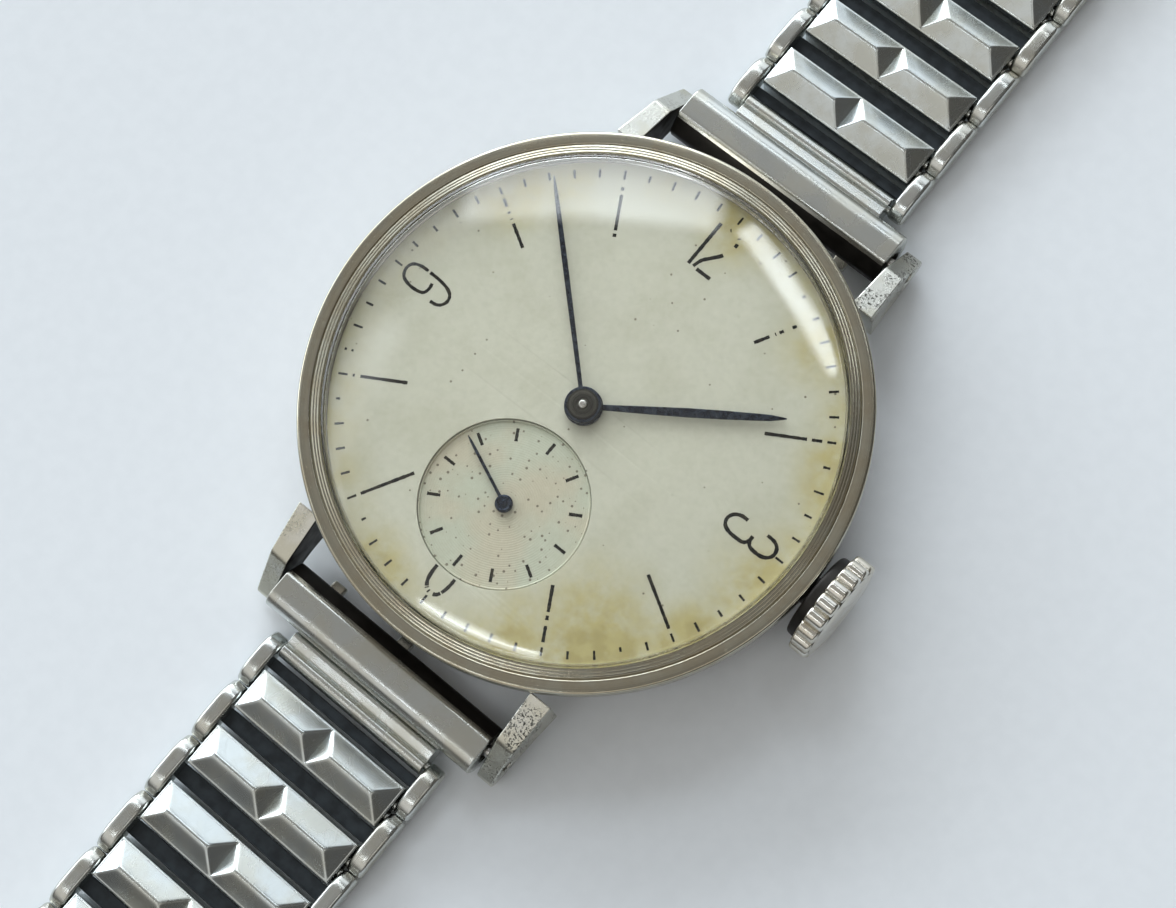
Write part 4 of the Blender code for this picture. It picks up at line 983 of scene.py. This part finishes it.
def make_clasp_base(hinge):
    """A tray with four slots between two low walls. Returns the y of the cover's pivot."""
    start = hinge + CLASP_REACH
    end = start + 34.0
    pivot = end + 0.9
    slot_ys = [-start - 6.0 - 2.6 * number for number in range(4)]
    slots = [rectangle(-4.2, y - 1.2, 4.2, y, 0.3) for y in slot_ys]
    tray = plate("tray", [rectangle(-CLASP_HALF, -end, CLASP_HALF, -start, 0.4)] + slots, 0, 0.8, 0.08)
    wall = softened([(-end - 1.8, 0.3, 0.4), (-start - 3.0, 0.3, 0.1), (-start - 3.0, 1.3, 0.3),
                     (-start - 4.0, 1.7, 0.4), (-end - 1.8, 1.7, 0.5)], steps=5)
    walls = two_plates("wall", [wall, circle(0.4, 24, (-pivot, PIVOT_Z))], 6.4, CLASP_HALF, 0.06)
    parts = [tray] + walls + clasp_ends(-1, hinge)
    dress(joined("clasp_tray", parts), clasp_steel, "clasp_base", "clasp_base")
    return pivot


def make_clasp_cover(pivot):
    """A flat cover on two ears, with three ribs for the thumb at its tip."""
    low, high, back, tip = 1.65, 2.15, -pivot - 0.35, -pivot + 16.0
    outline = [(back, low, 0.05), (tip, low, 0.08), (tip, high - 0.2, 0.1), (tip - 0.4, high, 0.2),
               (-pivot, high, 0.2), (back, high - 0.2, 0.1)]
    ear = [(back, 0.97, 0.25), (-pivot + 0.35, 0.97, 0.25), (-pivot + 0.6, low + 0.1, 0.05),
           (-pivot - 0.33, low + 0.1, 0.05)]
    parts = [plate("cover", [softened(outline)], -6.3, 6.3, 0.12, "x")]
    parts += two_plates("ear", [softened(ear)], 5.6, 6.28, 0.06)
    parts.append(pin(0.33, 6.8, 0.08, (-pivot, PIVOT_Z)))
    for y in (tip - 1.2 - 0.7 * number for number in range(3)):
        rib = rectangle(-4.6, y - 0.16, 4.6, y + 0.16, 0.15)
        parts.append(plate("rib", [rib], high - 0.06, high + 0.12, 0.07))
    dress(joined("clasp_lid", parts), clasp_steel, "clasp_cover", "clasp_cover")


def make_clasp_hook(hinge):
    """A frame with a turned-up lip, which the cover catches."""
    start = hinge + CLASP_REACH
    end = start + 10.0
    frame_outlines = [rectangle(-CLASP_HALF, start, CLASP_HALF, end, 0.5),
                      rectangle(-5.0, start + 2.4, 5.0, end - 3.0, 0.5)]
    lip = softened([(end - 0.6, 0.1, 0.1), (end, 0.1, 0.2), (end + 0.1, 1.6, 0.35), (end - 1.6, 2.0, 0.15),
                    (end - 1.6, 1.5, 0.1), (end - 0.7, 1.2, 0.15)], steps=5)
    parts = [plate("plate", frame_outlines, 0, 0.8, 0.08), plate("lip", [lip], -4.0, 4.0, 0.08, "x")]
    parts += clasp_ends(1, hinge)
    dress(joined("clasp_catch", parts), clasp_steel, "clasp_hook", "clasp_hook")


# ---- movement, sealed in the case

def finish_movement():
    """The movement's own solids keep their shape and take a worked finish."""
    looks = {"nickel": ground_metal("plate_nickel", (0.62, 0.60, 0.56), 0.32),
             "brass": ground_metal("wheel_brass", (0.66, 0.48, 0.20), 0.3),
             "movement_steel": ground_metal("ground_steel", (0.5, 0.5, 0.5), 0.25),
             "blued_steel": blued}
    for part in frame["record"]["subparts"]:
        node = frame["nodes"][part["node"]]
        if not node.hide_render:
            node.data.materials.clear()
            node.data.materials.append(looks[part["material_slot"]])


# ---- stage, light and camera

def make_floor():
    half, z = 3.0, -0.00002
    mesh = bpy.data.meshes.new("floor")
    corners = [(-half, -half, z), (half, -half, z), (half, half, z), (-half, half, z)]
    mesh.from_pydata(corners, [], [(0, 1, 2, 3)])
    look = Look("floor_paper", (0.86, 0.905, 0.945), 0.0, 0.75)
    fine = look.noise(0.9, 4.0)
    look.cover(look.ramp(fine, 0.3, 0.7), (0.88, 0.925, 0.965))
    look.bump(fine, 0.02, 0.2)
    mesh.materials.append(look.material)
    new_object("floor", mesh)


def towards(tilt, azimuth):
    """A direction from the watch, in degrees: tilt is measured from straight up and azimuth from +X."""
    tilt, azimuth = math.radians(tilt), math.radians(azimuth)
    return Vector((math.sin(tilt) * math.cos(azimuth), math.sin(tilt) * math.sin(azimuth), math.cos(tilt)))


def soft_window(sky, direction, tilt, azimuth, roll, half_high, half_wide, edge, radiance):
    """A soft-edged rectangle of light on the sky, turned in its own plane by roll degrees. Its half sizes are
    in degrees too. Returns its radiance in each direction."""
    middle, level = towards(tilt, azimuth), towards(90, azimuth + 90)
    steep = middle.cross(level)
    cos, sin = math.cos(math.radians(roll)), math.sin(math.radians(roll))
    facing = sky.vector("DOT_PRODUCT", direction, middle)
    light = sky.math("GREATER_THAN", facing, 0.06)
    ahead = sky.math("MAXIMUM", facing, 0.05)
    for axis, half in ((level * cos + steep * sin, half_wide), (steep * cos - level * sin, half_high)):
        off_centre = sky.math("DIVIDE", sky.vector("DOT_PRODUCT", direction, axis), ahead)
        limit = math.tan(math.radians(half))
        inside = sky.ramp(sky.math("ABSOLUTE", off_centre), limit + edge / 2, limit - edge / 2)
        light = sky.times(light, inside)
    return sky.times(light, radiance)


# The sky round the watch: tilt, azimuth, roll, half height, half width, soft edge, radiance
WINDOWS = ((44.5, 135, -11, 6.5, 14, 0.05, 4.2),  # this one's glare lies on the crystal past 9 o'clock
           (46, 165, 0, 4.5, 7, 0.1, 1.3),
           (37, -164, 0, 2.5, 12, 0.08, 1.4),
           (33.8, 95, -25, 1.2, 10, 0.025, 6.5),  # glare between 12 and 3 o'clock
           (22, -106, 29, 0.9, 8, 0.02, 9.0),  # glare at 6 o'clock
           (70, 136, 0, 9, 18, 0.15, 9.0),  # casts the shadows
           (76, 178, 0, 12, 30, 0.2, 4.4),  # whitens the ends of the rows
           (70, 104, 0, 20, 14, 0.2, 1.1))
CEILING = ((14, 150, 0, 20, 20, 0.4, 0.25), (42, -100, 0, 20, 45, 0.5, 0.68), (27, -8, 0, 8, 16, 0.2, 0.9))
WINDOW_TINT = (0.91, 0.975, 1.03, 1.0)
CEILING_TINT = (1.0, 0.975, 0.93, 1.0)
ROOM = 0.11  # radiance of the rest of the room
BACKDROP = (0.80, 0.82, 0.87, 1.0)  # what the camera sees past the floor


def glow(sky, direction, windows, base, tint):
    """A background with these windows in it."""
    total = base
    for window in windows:
        total = sky.math("ADD", soft_window(sky, direction, *window), total)
    return sky.add("Background", {"Color": tint, "Strength": total}).outputs[0]


def make_light():
    world = bpy.data.worlds.new("studio")
    bpy.context.scene.world = world
    world.use_nodes = True
    sky = Nodes(world.node_tree)
    direction = sky.add("TexCoord").outputs["Generated"]
    both = sky.add("AddShader", {0: glow(sky, direction, WINDOWS, 0.0, WINDOW_TINT),
                                 1: glow(sky, direction, CEILING, ROOM, CEILING_TINT)})
    backdrop = sky.tree.nodes["Background"]
    sky.feed(backdrop.inputs["Color"], BACKDROP)
    sky.feed(backdrop.inputs["Strength"], 1.0)
    seen = sky.choose(sky.add("LightPath").outputs["Is Camera Ray"], both.outputs[0], backdrop.outputs[0])
    sky.feed(sky.tree.nodes["World Output"].inputs["Surface"], seen)
    world.cycles.sampling_method = "MANUAL"
    world.cycles.sample_map_resolution = 512


def make_camera():
    camera = new_object("camera", bpy.data.cameras.new("camera"))
    camera.data.sensor_fit = "HORIZONTAL"
    camera.data.sensor_width = 36.0
    camera.data.lens = 67.44
    camera.data.clip_start = 0.001
    aim = Vector((-0.22513, 0.12535, -0.96623)).normalized()
    up = Vector((-0.60268, 0.76129, 0.23919))
    up = (up - aim * up.dot(aim)).normalized()
    turn = Matrix((aim.cross(up), up, -aim)).transposed().to_4x4()
    camera.matrix_world = Matrix.Translation(Vector((31.809, -18.649, 133.263)) * MM) @ turn
    bpy.context.scene.camera = camera


make_camera()
make_light()
make_floor()
make_bezel()
make_case()
make_case_back()
make_crystal()
make_dials()
make_print()
make_hour_hand()
make_minute_hand()
make_seconds_hand()
make_crown()
make_clasp_hook(make_band("a", 1))
make_clasp_cover(make_clasp_base(make_band("b", -1)))
finish_movement()
bpy.context.scene.view_settings.view_transform = "Standard"
